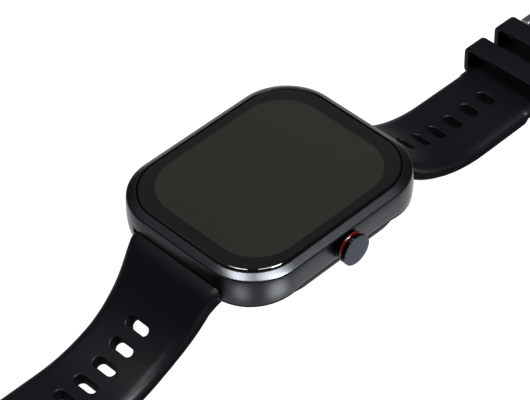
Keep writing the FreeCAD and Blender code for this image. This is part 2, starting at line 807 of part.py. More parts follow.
def release_window(owner, side):
    """Opening under the barrel for the quick-release knob and its travel."""
    pivot = side * size("pivot_y")
    low = size("pivot_z") - size("knob_drop") - size("window_depth")
    half_knob, clearance = 0.5 * size("knob_width"), size("window_play")
    first = size("knob_x") - half_knob - clearance
    last = size("knob_x") + half_knob + size("release_travel") + clearance
    drawing = sketch(owner, "release_window", offset=str(low))
    y_low, y_high = pivot - half_knob - clearance, pivot + half_knob + clearance
    chain(drawing, (first, y_low), [
        (last, y_low), (last, y_high), (first, y_high), (first, y_low),
    ])
    feature = owner.newObject("PartDesign::Pocket", f"{owner.Name}_release_window")
    before = owner.Shape.Volume
    feature.Profile = drawing
    feature.Reversed = True
    bind(feature, Length=f"Sizes.pivot_z - ({low})")
    document.recompute()
    if not owner.Shape.Volume < before:
        raise RuntimeError("the release window removes nothing")


def strap(name, prefix, side, end_y, rounded):
    owner = body(name)
    drawing = sketch(owner, "side", "YZ_Plane")
    start, steps = strap_side(prefix, side, end_y, relieved=not rounded)
    chain(drawing, start, steps)
    pad(owner, drawing, "2 * Sizes.strap_root_half_width", "band", middle=True)
    trim_sides(owner, side, end_y, rounded)
    bore_across(owner, side * size("pivot_y"), size("pivot_z"), "root")
    release_window(owner, side)
    slots(owner, prefix, side)
    return owner


def strap_long():
    strap("strap_long", "long", -1, size("long_tip_y"), True)


def strap_short():
    end_y = size("buckle_y") + 0.5 * size("strap_thickness")
    owner = strap("strap_short", "short", 1, end_y, False)
    bore_across(owner, size("buckle_y"), size("strap_flat_z"), "buckle")
    drawing = sketch(owner, "tongue_gap")
    half, start = size("tongue_gap_half"), size("tongue_gap_start")
    chain(drawing, (-half, start), [
        (half, start), (half, end_y + 1), (-half, end_y + 1), (-half, start),
    ])
    pocket(owner, drawing, THROUGH, "tongue_gap", middle=True)


def spring_bar(prefix, side):
    """Quick-release spring bar: tube, fixed pin, coil spring and sliding pin with its knob."""
    axis = ("0", f"{side} * Sizes.pivot_y", "Sizes.pivot_z")
    outer = cylinder(f"{prefix}_tube_outer", "Sizes.bar_tube_radius", "-Sizes.bar_tube_half",
                     "Sizes.bar_tube_half", "x", axis)
    inner = cylinder(f"{prefix}_tube_bore", "Sizes.bar_tube_bore", "-Sizes.bar_tube_half",
                     "Sizes.bar_tube_half", "x", axis)
    slit = document.addObject("Part::Box", f"{prefix}_tube_slit")
    bind(slit, Length="Sizes.knob_width + Sizes.release_travel + 2 * Sizes.slit_play",
         Width="Sizes.knob_width + Sizes.slit_play / 2",
         Height="Sizes.bar_tube_radius + Sizes.slit_play")
    bind(slit, Placement__Base__x="Sizes.knob_x - Sizes.knob_width / 2 - Sizes.slit_play",
         Placement__Base__y=f"{side} * Sizes.pivot_y - Sizes.knob_width / 2 - Sizes.slit_play / 4",
         Placement__Base__z="Sizes.pivot_z - Sizes.bar_tube_radius - Sizes.slit_play")
    tube = cut(cut(outer, inner, f"{prefix}_tube_hollow"), slit, f"{prefix}_bar_tube")
    keep(tube, f"{prefix}_bar_tube")
    keep(cylinder(f"{prefix}_bar_pin", "Sizes.bar_pin_radius", "Sizes.bar_pin_root",
                  "Sizes.bar_pin_tip", "x", axis), f"{prefix}_bar_pin")
    coil = cylinder(f"{prefix}_coil_outer", "Sizes.bar_pin_radius", "Sizes.release_root",
                    "Sizes.bar_pin_root", "x", axis)
    hollow = cylinder(f"{prefix}_coil_bore", "Sizes.spring_bore", "Sizes.release_root",
                      "Sizes.bar_pin_root", "x", axis)
    keep(cut(coil, hollow, f"{prefix}_bar_spring"), f"{prefix}_bar_spring")
    stem = cylinder(f"{prefix}_release_stem", "Sizes.bar_pin_radius", "-Sizes.bar_pin_tip",
                    "Sizes.release_root", "x", axis)
    knob = document.addObject("Part::Box", f"{prefix}_release_knob")
    bind(knob, Length="Sizes.knob_width", Width="Sizes.knob_width", Height="Sizes.knob_drop")
    bind(knob, Placement__Base__x="Sizes.knob_x - Sizes.knob_width / 2",
         Placement__Base__y=f"{side} * Sizes.pivot_y - Sizes.knob_width / 2",
         Placement__Base__z="Sizes.pivot_z - Sizes.knob_drop")
    keep(fuse([stem, knob], f"{prefix}_bar_release"), f"{prefix}_bar_release")


def keeper(name):
    """A loop round the short strap, high enough for the long strap to pass through."""
    owner = body(name)
    inner = size("strap_half_width") + size("keeper_side_gap")
    outer = inner + size("keeper_wall")
    flat_bottom = size("strap_flat_z") - 0.5 * size("strap_thickness")
    inner_bottom, inner_top = flat_bottom + size("keeper_skin"), size("keeper_inner_top")
    top = inner_top + size("keeper_skin")
    crown, foot = size("keeper_top_round"), size("keeper_foot_round")
    arc_share = 1 - math.sqrt(0.5)
    drawing = sketch(owner, "section", "XZ_Plane", f"-Sizes.{name}_y")
    chain(drawing, (-outer, flat_bottom + foot), [
        ((-outer + arc_share * foot, flat_bottom + arc_share * foot), (-outer + foot, flat_bottom)),
        (outer - foot, flat_bottom),
        ((outer - arc_share * foot, flat_bottom + arc_share * foot), (outer, flat_bottom + foot)),
        (outer, top - crown),
        ((outer - arc_share * crown, top - arc_share * crown), (outer - crown, top)),
        (-outer + crown, top),
        ((-outer + arc_share * crown, top - arc_share * crown), (-outer, top - crown)),
        (-outer, flat_bottom + foot),
    ])
    pad(owner, drawing, "Sizes.keeper_length", "loop").Reversed = True
    document.recompute()
    hole = sketch(owner, "passage", "XZ_Plane", f"-Sizes.{name}_y")
    chain(hole, (-inner, inner_bottom), [
        (inner, inner_bottom), (inner, inner_top), (-inner, inner_top), (-inner, inner_bottom),
    ])
    before = owner.Shape.Volume
    feature = owner.newObject("PartDesign::Pocket", f"{name}_passage")
    feature.Profile = hole
    bind(feature, Length="Sizes.keeper_length")
    document.recompute()
    if not owner.Shape.Volume < before:
        raise RuntimeError(f"{name} has no passage")


def buckle_frame():
    owner = body("buckle_frame")
    half, arm, corner = size("frame_half_width"), size("frame_arm"), size("frame_corner")
    start, end, bar = size("frame_start_y"), size("frame_end_y"), size("frame_bar")
    bulge = corner * (1 - math.sqrt(0.5))
    drawing = sketch(owner, "outline", offset="Sizes.frame_bottom")
    inner = half - arm
    chain(drawing, (inner, start), [
        (half, start), (half, end - corner),
        ((half - bulge, end - bulge), (half - corner, end)),
        (corner - half, end),
        ((bulge - half, end - bulge), (-half, end - corner)),
        (-half, start), (-inner, start), (-inner, end - bar), (inner, end - bar), (inner, start),
    ])
    pad(owner, drawing, "Sizes.frame_top - Sizes.frame_bottom", "hoop")
    holes = sketch(owner, "bar_holes", "YZ_Plane")
    circle(holes, size("buckle_y"), size("strap_flat_z"), size("buckle_bar_radius"),
           "Sizes.buckle_bar_radius + Sizes.bar_fit")
    pocket(owner, holes, "2 * (Sizes.frame_half_width - Sizes.bar_hole_inset)", "bar_holes",
           middle=True)


def buckle_bar():
    keep(cylinder("buckle_bar", "Sizes.buckle_bar_radius", "Sizes.bar_inset - Sizes.frame_half_width",
                  "Sizes.frame_half_width - Sizes.bar_inset", "x",
                  ("0", "Sizes.buckle_y", "Sizes.strap_flat_z")), "buckle_bar")


def buckle_tongue():
    """The prong: an eye round the bar and a flat finger that rests on the frame."""
    owner = body("buckle_tongue")
    eye, centre_y, centre_z = size("tongue_hub_radius"), size("buckle_y"), size("strap_flat_z")
    low = size("frame_top") + size("tongue_rest_gap")
    high, end = low + size("tongue_thickness"), size("tongue_end_y")
    bottom_y = centre_y + math.sqrt(eye ** 2 - (low - centre_z) ** 2)
    drawing = sketch(owner, "side", "YZ_Plane")
    chain(drawing, (bottom_y, low), [
        (end, low), (end, high - size("tongue_nose_drop")),
        (end - size("tongue_nose_run"), high), (centre_y + size("tongue_shoulder"), high),
        ((centre_y - eye, centre_z), (centre_y, centre_z - eye)),
        ((centre_y + eye * math.sqrt(0.5), centre_z - eye * math.sqrt(0.5)),
         (centre_y + eye, centre_z)),
        (bottom_y, low),
    ])
    pad(owner, drawing, "2 * Sizes.tongue_half_width", "finger", middle=True)
    hole = sketch(owner, "eye", "YZ_Plane")
    circle(hole, centre_y, centre_z, size("buckle_bar_radius"),
           "Sizes.buckle_bar_radius + Sizes.bar_fit")
    pocket(owner, hole, "2 * Sizes.tongue_half_width + 1", "eye", middle=True)


# ---------------------------------------------------------------- document

def build():
    fill_sheet()
    case_frame()
    cover_glass()
    frame_plate("glass_adhesive", "(Sizes.glass_half_width - Sizes.adhesive_inset)",
                "(Sizes.glass_half_length - Sizes.adhesive_inset)",
                "(Sizes.glass_corner - Sizes.adhesive_inset)", "Sizes.adhesive_band",
                "Sizes.glass_seat", "Sizes.glass_bottom")
    slab(body("display_panel"), "panel", "Sizes.panel_half_width", "Sizes.panel_half_length",
         "Sizes.panel_corner", "Sizes.panel_bottom", "Sizes.glass_bottom - Sizes.panel_bottom")
    back_cover()
    frame_plate("back_gasket", "(Sizes.cover_half_width - Sizes.gasket_inset)",
                "(Sizes.cover_half_length - Sizes.gasket_inset + 0.35)",
                "(Sizes.cover_corner - Sizes.gasket_inset)", "Sizes.gasket_band",
                "Sizes.cover_top", "Sizes.case_bottom")
    sensor_window()
    inner_chassis()
    chassis_screws()
    sensor_leds()
    press_switch()
    for name in BLOCKS:
        block(name)
    for name in RINGS:
        ring(name, "z")
    for name in CROWN_RINGS:
        ring(name, "x", CROWN_AXIS)
    crown_cap()
    crown_shaft()
    crown_bush()
    crown_seals()
    strap_long()
    strap_short()
    spring_bar("long", -1)
    spring_bar("short", 1)
    keeper("keeper_fixed")
    keeper("keeper_free")
    buckle_frame()
    buckle_bar()
    buckle_tongue()
    document.recompute()


def check():
    """Stop before anything is written if a feature failed or a sub-part is not sound."""
    for thing in document.Objects:
        if {"Invalid", "Error"} & set(thing.State):
            raise RuntimeError(f"{thing.Name} is {thing.State}")
    for node in nodes:
        if node.Shape.isNull() or not node.Shape.isValid() or not node.Shape.Solids:
            raise RuntimeError(f"{node.Label} has no sound shape")


def export():
    os.makedirs("parts", exist_ok=True)
    for node in nodes:
        node.Shape.exportStep(f"parts/{node.Label}.step")
        box = node.Shape.BoundBox
        print(f"{node.Label:18s} {node.Shape.Volume:9.2f} mm3  "
              f"x {box.XMin:7.2f} {box.XMax:7.2f}  y {box.YMin:7.2f} {box.YMax:7.2f}  "
              f"z {box.ZMin:7.2f} {box.ZMax:7.2f}")


build()
check()
export()
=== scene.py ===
import json
import math

import bmesh
import bpy
from mathutils import Matrix, Vector


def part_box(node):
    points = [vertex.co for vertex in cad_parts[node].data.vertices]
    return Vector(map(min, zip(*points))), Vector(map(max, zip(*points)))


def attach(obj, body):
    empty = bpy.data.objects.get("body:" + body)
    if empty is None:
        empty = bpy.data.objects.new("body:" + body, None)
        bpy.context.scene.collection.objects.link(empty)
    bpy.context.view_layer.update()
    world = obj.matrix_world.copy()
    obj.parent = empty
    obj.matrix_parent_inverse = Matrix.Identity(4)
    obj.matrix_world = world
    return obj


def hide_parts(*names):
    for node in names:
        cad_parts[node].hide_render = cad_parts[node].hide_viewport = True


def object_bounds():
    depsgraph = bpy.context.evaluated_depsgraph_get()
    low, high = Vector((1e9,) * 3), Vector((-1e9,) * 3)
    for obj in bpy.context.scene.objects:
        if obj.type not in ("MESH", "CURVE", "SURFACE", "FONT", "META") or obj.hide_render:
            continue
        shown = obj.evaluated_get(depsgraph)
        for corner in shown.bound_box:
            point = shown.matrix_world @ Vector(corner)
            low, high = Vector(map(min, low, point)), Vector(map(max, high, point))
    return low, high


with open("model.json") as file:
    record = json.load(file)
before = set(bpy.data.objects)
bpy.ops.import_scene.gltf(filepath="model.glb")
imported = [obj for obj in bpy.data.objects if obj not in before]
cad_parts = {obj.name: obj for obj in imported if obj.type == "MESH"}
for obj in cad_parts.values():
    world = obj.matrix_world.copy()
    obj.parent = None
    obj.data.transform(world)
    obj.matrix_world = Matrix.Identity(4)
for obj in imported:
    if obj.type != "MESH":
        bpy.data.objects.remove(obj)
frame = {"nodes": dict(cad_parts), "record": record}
CAD_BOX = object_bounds()
MM = 0.001

# Dimensions in millimetres, in the row frame.
WALL = (19.85, 24.1, 11.0)
CREASE_Z, TOP_Z = 9.9, 10.7
WELL = (18.07, 22.32, 9.82)
SEAT_Z, POCKET_Z, CASE_BOTTOM = 9.6, 8.2, 4.6
POCKET = (16.8, 20.4, 9.3)
CAVITY = (16.4, 19.0, 7.5)
COVER_SEAT = (18.93, 19.58, 9.58)
ARCH_TOP, LUG_BOTTOM, ARCH_START, ARCH_END = 4.2, 3.1, 11.0, 22.0
GLASS = (17.95, 22.2, 9.7)
GLASS_LOW, GLASS_TOP, GLASS_EDGE = 9.7, 10.85, 0.6
COVER = (18.85, 19.5, 9.5)
PIVOT_Y, PIVOT_Z, BARREL = 21.5, 5.9, 1.5
CROWN_Y, CROWN_Z = -0.2, 7.1
HALF_THICK = 1.45
FLAT_Z = -10.1
PITCH = 4.93
PIN_BORE, BAR_BORE = 0.76, 0.78
BUCKLE_BAR_Y = 87.0
CROWN_FACE_X = 22.1
DISPLAY = (15.76, 19.08, 8.69)
# Edges steeper than this many degrees are shaded sharp.
SHARP_ANGLE = 35.0


# ---------------------------------------------------------------- mesh helpers

def new_object(name, verts, faces):
    """An object from points in millimetres, welded, with its outside facing out."""
    mesh = bpy.data.meshes.new(name)
    mesh.from_pydata([(x * MM, y * MM, z * MM) for x, y, z in verts], [], faces)
    tidy_mesh(mesh)
    made = bpy.data.objects.new(name, mesh)
    bpy.context.scene.collection.objects.link(made)
    return made


def add_mesh(name, verts, faces, body, finish, slot, nodes):
    """A piece that rides on a body and stands for the CAD nodes named."""
    piece = new_object(name, verts, faces)
    piece.data.materials.append(finish)
    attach(piece, body)
    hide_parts(*nodes)
    return piece


def tidy_mesh(mesh):
    work = bmesh.new()
    work.from_mesh(mesh)
    bmesh.ops.remove_doubles(work, verts=work.verts, dist=2e-6)
    bmesh.ops.dissolve_degenerate(work, dist=1e-7, edges=work.edges)
    bmesh.ops.recalc_face_normals(work, faces=work.faces)
    for face in work.faces:
        face.smooth = True
    work.to_mesh(mesh)
    work.free()
    mesh.set_sharp_from_angle(angle=math.radians(SHARP_ANGLE))


def loft(rings, closed=False, caps=True):
    """Points and faces of a skin through closed rings that have the same number of points."""
    count = len(rings[0])
    verts = [point for ring in rings for point in ring]
    faces = []
    pairs = len(rings) if closed else len(rings) - 1
    for i in range(pairs):
        a, b = i * count, (i + 1) % len(rings) * count
        for j in range(count):
            k = (j + 1) % count
            faces.append((a + j, a + k, b + k, b + j))
    if caps and not closed:
        faces.append(tuple(range(count)))
        faces.append(tuple(range(len(verts) - count, len(verts))))
    return verts, faces


def outline(half_x, half_y, corner, corner_steps=18, side_steps=16):
    """A rounded rectangle as points (x, y), the same number whatever its size."""
    points = []
    flat_x, flat_y = half_x - corner, half_y - corner
    quadrants = ((1, 1), (-1, 1), (-1, -1), (1, -1))

    def on_corner(signs, degrees):
        turn = math.radians(degrees)
        return (signs[0] * flat_x + corner * math.cos(turn),
                signs[1] * flat_y + corner * math.sin(turn))

    for number, signs in enumerate(quadrants):
        start = 90 * number
        for step in range(corner_steps + 1):
            points.append(on_corner(signs, start + 90 * step / corner_steps))
        first = Vector(on_corner(signs, start + 90))
        last = Vector(on_corner(quadrants[(number + 1) % 4], start + 90))
        for step in range(1, side_steps):
            points.append(tuple(first.lerp(last, step / side_steps)))
    return points


def level(shape, z):
    return [(x, y, z) for x, y in outline(*shape)]


def inset(shape, amount):
    return (shape[0] - amount, shape[1] - amount, shape[2] - amount)


def spun(profile, axis, centre, steps=96):
    """Rings of a profile of (along, radius) turned round the x or z axis through a centre."""
    rings = []
    for along, radius in profile:
        ring = []
        for step in range(steps):
            turn = 2 * math.pi * step / steps
            u, v = radius * math.cos(turn), radius * math.sin(turn)
            ring.append((along, centre[1] + u, centre[2] + v) if axis == "x" else
                        (centre[0] + u, centre[1] + v, along))
        rings.append(ring)
    return rings


def rounded(points, radii, steps=5):
    """An open path whose inner corners are rounded; radii has one number per point."""
    made = [points[0]]
    for before, corner, after, radius in zip(points, points[1:], points[2:], radii[1:]):
        corner = Vector(corner)
        to_a, to_b = Vector(before) - corner, Vector(after) - corner
        if radius <= 0:
            made.append(tuple(corner))
            continue
        half = to_a.angle(to_b) / 2
        reach = min(radius / math.tan(half), 0.49 * to_a.length, 0.49 * to_b.length)
        start, end = corner + to_a.normalized() * reach, corner + to_b.normalized() * reach
        for step in range(steps + 1):
            t = step / steps
            made.append(tuple(start.lerp(corner, t).lerp(corner.lerp(end, t), t)))
    made.append(points[-1])
    return made


def box_cutter(name, low, high):
    (x0, y0, z0), (x1, y1, z1) = low, high
    ring = [(x0, y0), (x1, y0), (x1, y1), (x0, y1)]
    return new_object(name, *loft([[(x, y, z0) for x, y in ring], [(x, y, z1) for x, y in ring]]))


def rod_cutter(name, start, end, radius, y, z):
    return new_object(name, *loft(spun([(start, radius), (end, radius)], "x", (0, y, z), 48)))


def carve(piece, tools, bevel=0.0):
    """Cut the tools out of a piece for good, and break the edges that the cuts leave."""
    for tool in tools:
        cut = piece.modifiers.new("cut", "BOOLEAN")
        cut.operation = "DIFFERENCE"
        cut.solver = "EXACT"
        cut.object = tool
    if bevel:
        edge = piece.modifiers.new("edge", "BEVEL")
        edge.width = bevel * MM
        edge.segments = 3
        edge.limit_method = "ANGLE"
        edge.angle_limit = math.radians(50)
        edge.miter_outer = "MITER_ARC"
    bpy.context.view_layer.update()
    solved = piece.evaluated_get(bpy.context.evaluated_depsgraph_get())
    mesh = bpy.data.meshes.new_from_object(solved)
    piece.modifiers.clear()
    piece.data = mesh
    for face in mesh.polygons:
        face.use_smooth = True
    mesh.set_sharp_from_angle(angle=math.radians(SHARP_ANGLE))
    for tool in tools:
        bpy.data.objects.remove(tool)


# ---------------------------------------------------------------- materials

def link(tree, source, target):
    tree.links.new(source, target)


def new_material(name):
    made = bpy.data.materials.new(name)
    made.use_nodes = True
    return made, made.node_tree, made.node_tree.nodes["Principled BSDF"]


def noise(tree, scale, detail=4.0, stretch=None):
    """A noise texture in object space; scale counts features per millimetre."""
    place = tree.nodes.new("ShaderNodeTexCoord")
    source = place.outputs["Object"]
    if stretch:
        mapping = tree.nodes.new("ShaderNodeMapping")
        mapping.inputs["Scale"].default_value = stretch
        link(tree, source, mapping.inputs["Vector"])
        source = mapping.outputs["Vector"]
    texture = tree.nodes.new("ShaderNodeTexNoise")
    texture.inputs["Scale"].default_value = scale * 1000
    texture.inputs["Detail"].default_value = detail
    link(tree, source, texture.inputs["Vector"])
    return texture.outputs["Fac"]


def ranged(tree, source, low, high):
    made = tree.nodes.new("ShaderNodeMapRange")
    made.inputs["From Min"].default_value = 0.3
    made.inputs["From Max"].default_value = 0.7
    made.inputs["To Min"].default_value = low
    made.inputs["To Max"].default_value = high
    link(tree, source, made.inputs["Value"])
    return made.outputs["Result"]


def smooth_range(tree, source, start, end, low, high):
    """A soft step from low to high as the source goes from start to end."""
    made = tree.nodes.new("ShaderNodeMapRange")
    made.interpolation_type = "SMOOTHSTEP"
    for socket, value in (("From Min", start), ("From Max", end), ("To Min", low), ("To Max", high)):
        made.inputs[socket].default_value = value
    link(tree, source, made.inputs["Value"])
    return made.outputs["Result"]


def vector_math(tree, operation, first, second=None):
    made = tree.nodes.new("ShaderNodeVectorMath")
    made.operation = operation
    link(tree, first, made.inputs[0])
    if second:
        made.inputs[1].default_value = second
    return made


def summed(tree, sources):
    """The sum of several sockets."""
    total = sources[0]
    for source in sources[1:]:
        added = tree.nodes.new("ShaderNodeMath")
        link(tree, total, added.inputs[0])
        link(tree, source, added.inputs[1])
        total = added.outputs["Value"]
    return total


def mixed(tree, factor, first, second):
    made = tree.nodes.new("ShaderNodeMix")
    made.data_type = "RGBA"
    for socket, value in ((made.inputs[6], first), (made.inputs[7], second)):
        if isinstance(value, tuple):
            socket.default_value = (*value, 1)
        else:
            link(tree, value, socket)
    link(tree, factor, made.inputs[0])
    return made.outputs[2]


def bumped(tree, shader, source, height):
    bump = tree.nodes.new("ShaderNodeBump")
    bump.inputs["Distance"].default_value = height * MM
    bump.inputs["Strength"].default_value = 1.0
    link(tree, source, bump.inputs["Height"])
    link(tree, bump.outputs["Normal"], shader.inputs["Normal"])


def finish(name, colour, metallic, roughness, spread=0.12, patch=0.4, grain=8.0, height=0.004,
           specular=0.5, rough_spread=0.06, stretch=None):
    """A surface with slow colour and gloss patches and a fine grain."""
    made, tree, shader = new_material(name)
    slow = noise(tree, patch)
    dark = tuple(channel * (1 - spread) for channel in colour)
    light = tuple(min(channel * (1 + spread), 1.0) for channel in colour)
    link(tree, mixed(tree, slow, dark, light), shader.inputs["Base Color"])
    shader.inputs["Metallic"].default_value = metallic
    shader.inputs["Specular IOR Level"].default_value = specular
    fine = noise(tree, grain, 6.0, stretch)
    link(tree, ranged(tree, fine, max(roughness - rough_spread, 0.02), roughness + rough_spread),
         shader.inputs["Roughness"])
    bumped(tree, shader, fine, height)
    return made


def glass_finish():
    """Cover glass over a dark display: the lit area is a little lighter and warmer."""
    made, tree, shader = new_material("cover_glass")
    half_x, half_y, corner = DISPLAY
    edge_blur = 0.06
    place = tree.nodes.new("ShaderNodeTexCoord")
    flat = vector_math(tree, "MULTIPLY", place.outputs["Object"], (1, 1, 0))
    folded = vector_math(tree, "ABSOLUTE", flat.outputs["Vector"])
    moved = vector_math(tree, "SUBTRACT", folded.outputs["Vector"],
                        ((half_x - corner) * MM, (half_y - corner) * MM, 0))
    outside = vector_math(tree, "MAXIMUM", moved.outputs["Vector"], (0, 0, 0))
    length = vector_math(tree, "LENGTH", outside.outputs["Vector"])
    mask = tree.nodes.new("ShaderNodeMapRange")
    mask.inputs["From Min"].default_value = (corner + edge_blur) * MM
    mask.inputs["From Max"].default_value = (corner - edge_blur) * MM
    link(tree, length.outputs["Value"], mask.inputs["Value"])
    panel = mixed(tree, noise(tree, 0.05), (0.0062, 0.0057, 0.0042), (0.0074, 0.0069, 0.0052))
    colour = mixed(tree, mask.outputs["Result"], (0.0010, 0.0010, 0.0011), panel)
    link(tree, colour, shader.inputs["Base Color"])
    smear = noise(tree, 0.12)
    link(tree, ranged(tree, smear, 0.02, 0.05), shader.inputs["Roughness"])
    shader.inputs["IOR"].default_value = 1.5
    return made


def spun_finish(name, colour, roughness):
    """Turned metal: fine rings round the crown's axis, on a face lighter and duller than the side; the
    side's colour is darkened as a painted dark reflection.
    """
    side_painted_dark, side_roughness = 0.3, 0.16
    made, tree, shader = new_material(name)
    place = tree.nodes.new("ShaderNodeTexCoord")
    mapping = tree.nodes.new("ShaderNodeMapping")
    mapping.inputs["Location"].default_value = (0, -CROWN_Y * MM, -CROWN_Z * MM)
    link(tree, place.outputs["Object"], mapping.inputs["Vector"])
    rings = tree.nodes.new("ShaderNodeTexWave")
    rings.wave_type = "RINGS"
    rings.rings_direction = "X"
    rings.inputs["Scale"].default_value = 900
    rings.inputs["Distortion"].default_value = 0.6
    link(tree, mapping.outputs["Vector"], rings.inputs["Vector"])
    slow = noise(tree, 0.3)
    base = mixed(tree, slow, tuple(0.85 * c for c in colour), tuple(1.15 * c for c in colour))
    split = tree.nodes.new("ShaderNodeSeparateXYZ")
    link(tree, place.outputs["Object"], split.inputs["Vector"])
    face = tree.nodes.new("ShaderNodeMath")
    face.operation = "GREATER_THAN"
    face.inputs[1].default_value = CROWN_FACE_X * MM
    link(tree, split.outputs["X"], face.inputs[0])
    # Painted dark reflection: the side takes a darker copy of the face's colour.
    side = tuple(side_painted_dark * c for c in colour)
    link(tree, mixed(tree, face.outputs["Value"], side, base), shader.inputs["Base Color"])
    shader.inputs["Metallic"].default_value = 1.0
    gloss = tree.nodes.new("ShaderNodeMapRange")
    gloss.inputs["To Min"].default_value = side_roughness
    gloss.inputs["To Max"].default_value = roughness
    link(tree, face.outputs["Value"], gloss.inputs["Value"])
    link(tree, gloss.outputs["Result"], shader.inputs["Roughness"])
    bumped(tree, shader, rings.outputs["Fac"], 0.002)
    return made


METAL = finish("case_metal", (0.041, 0.043, 0.0465), 1.0, 0.28, spread=0.05, grain=12.0,
               height=0.0004)
RUBBER = finish("strap_elastomer", (0.0012, 0.0013, 0.0022), 0.0, 0.42, spread=0.25, patch=0.15,
                grain=11.0, height=0.0015, specular=0.14)
GLAZE = glass_finish()
CROWN_METAL = spun_finish("crown_metal", (0.030, 0.035, 0.048), 0.3)
# Painted shade: a dark finish with no reflection, put on the case's lower edge where the shade under the
# case falls.
PAINTED_SHADE = finish("case_painted_shade", (0.004, 0.004, 0.0045), 0.0, 0.7, specular=0.0)
SLOT_WALL = finish("strap_slot_wall", (0.002, 0.002, 0.003), 0.0, 0.7, specular=0.05)
ACCENT = finish("crown_accent", (0.034, 0.0012, 0.0018), 0.0, 0.16, spread=0.1, grain=10.0,
                height=0.001)
CERAMIC = finish("cover_ceramic", (0.005, 0.005, 0.0055), 0.0, 0.3, spread=0.1, grain=6.0,
                 height=0.0006, specular=0.2)
STEEL = finish("buckle_metal", (0.20, 0.20, 0.21), 1.0, 0.28, spread=0.08, grain=3.0, height=0.0015,
               stretch=(0.12, 1.0, 1.0))
SLOT_FINISH = {
    "case_metal": METAL,
    "glass": GLAZE,
    "adhesive": finish("adhesive", (0.01, 0.01, 0.01), 0.0, 0.6),
    "display": finish("display_stack", (0.02, 0.02, 0.022), 0.0, 0.35),
    "cover_ceramic": CERAMIC,
    "seal": finish("seal_rubber", (0.02, 0.02, 0.02), 0.0, 0.6),
    "sensor_glass": finish("sensor_glass", (0.008, 0.008, 0.012), 0.0, 0.07, spread=0.3, patch=0.2,
                           height=0.0002, rough_spread=0.02),
    "steel": finish("steel", (0.45, 0.45, 0.46), 1.0, 0.25, grain=4.0, height=0.001),
    "led": finish("led", (0.25, 0.4, 0.2), 0.0, 0.3),
    "switch_plastic": finish("switch_plastic", (0.03, 0.03, 0.035), 0.0, 0.45),
    "flex": finish("flex", (0.35, 0.16, 0.04), 0.0, 0.4),
    "circuit_board": finish("circuit_board", (0.01, 0.06, 0.025), 0.0, 0.4),
    "battery_wrap": finish("battery_wrap", (0.05, 0.05, 0.055), 0.0, 0.4),
    "baffle": finish("baffle", (0.012, 0.012, 0.012), 0.0, 0.6),
    "copper": finish("copper", (0.6, 0.25, 0.12), 1.0, 0.3),
    "crown_metal": CROWN_METAL,
    "crown_accent": ACCENT,
    "strap": RUBBER,
    "buckle_metal": STEEL,
}
slot_of = {entry["node"]: entry["material_slot"] for entry in frame["record"]["subparts"]}
for name, node in frame["nodes"].items():
    node.data.materials.clear()
    node.data.materials.append(SLOT_FINISH[slot_of[name]])


# ---------------------------------------------------------------- case

def arch(y):
    """Height of the case's lower edge: raised along the sides, low at the four lugs."""
    t = min(max((abs(y) - ARCH_START) / (ARCH_END - ARCH_START), 0.0), 1.0)
    early = 0.35
    return ARCH_TOP - (ARCH_TOP - LUG_BOTTOM) * ((1 + early) * t - early * t * t)


def build_case():
    """Middle case: seat, foot, wall and bezel in one skin, then notches, pin holes and crown bore, and
    painted shade on the faces along the lower edge.
    """
    seat_land, seat_step = 0.12, 0.1
    rings = [level(CAVITY, CASE_BOTTOM), level(COVER_SEAT, CASE_BOTTOM)]
    seat = outline(*COVER_SEAT)
    rings.append([(x, y, arch(y) + seat_land) for x, y in seat])
    rings.append([(x, y, arch(y)) for x, y in outline(*(s + seat_step for s in COVER_SEAT))])
    foot, tuck, bulge_z, bulge_reach = 0.8, 0.16, 6.4, 2.0
    for step in range(6):
        turn = math.radians(90 * step / 5)
        shape = outline(*inset(WALL, tuck + foot * (1 - math.sin(turn))))
        rings.append([(x, y, arch(y) + foot * (1 - math.cos(turn))) for x, y in shape])
    for z in (5.4, 5.9, 6.4, 7.0):
        rings.append(level(inset(WALL, tuck * ((bulge_z - z) / bulge_reach) ** 2), z))
    hollow, lean_z, lean_power = 0.17, 7.0, 2.2
    bezel, slope_end, turn_start, lip_z = 1.78, 1.57, 1.3, 10.3
    wall = [(hollow * ((z - lean_z) / (CREASE_Z - lean_z)) ** lean_power, z)
            for z in (7.5, 8.0, 8.4, 8.8, 9.2)]
    face = wall + rounded([wall[-1], (hollow, CREASE_Z), (slope_end, TOP_Z), (bezel, TOP_Z), (bezel, lip_z)],
                          [0, 0.6, 0.16, 0.05, 0], 8)[1:]
    for depth, z in face:
        widen = WELL[2] - WALL[2] + bezel
        corner = WALL[2] - depth + widen * min(max((depth - turn_start) / (bezel - turn_start), 0), 1)
        rings.append(level((WALL[0] - depth, WALL[1] - depth, corner), z))
    rings += [level(WELL, SEAT_Z), level(POCKET, SEAT_Z), level(POCKET, POCKET_Z),
              level(CAVITY, POCKET_Z)]
    case = add_mesh("case_shell", *loft(rings, closed=True), "case", METAL, "case_metal",
                    ["case_frame"])
    notch_x, pin_x, pin_radius = 11.4, 12.65, 0.5
    dish_radius, bore_radius, edge_break, painted_shade_height = 2.6, 1.6, 0.1, 0.75
    tools = []
    for side in (-1, 1):
        profile = [(19.3, 2.0), (19.3, 4.6), (19.8, 4.6), (19.8, 7.4), (20.1, 7.7), (22.9, 7.7),
                   (23.2, 7.4), (23.2, 6.75), (25.0, 6.75), (25.0, 2.0)]
        rows = [[(x, side * y, z) for y, z in profile] for x in (-notch_x, notch_x)]
        tools.append(new_object(f"notch_{side}", *loft(rows)))
        tools.append(rod_cutter(f"pins_{side}", -pin_x, pin_x, pin_radius, side * PIVOT_Y, PIVOT_Z))
    tools.append(rod_cutter("dish", 18.7, 21.0, dish_radius, CROWN_Y, CROWN_Z))
    tools.append(rod_cutter("bore", 15.5, 21.0, bore_radius, CROWN_Y, CROWN_Z))
    carve(case, tools, edge_break)
    # Painted shade: faces near the lower edge get the dark, non-reflecting finish in place of the case
    # metal.
    case.data.materials.append(PAINTED_SHADE)
    for face in case.data.polygons:
        centre = face.center / MM
        if centre.z < arch(centre.y) + painted_shade_height:
            face.material_index = 1


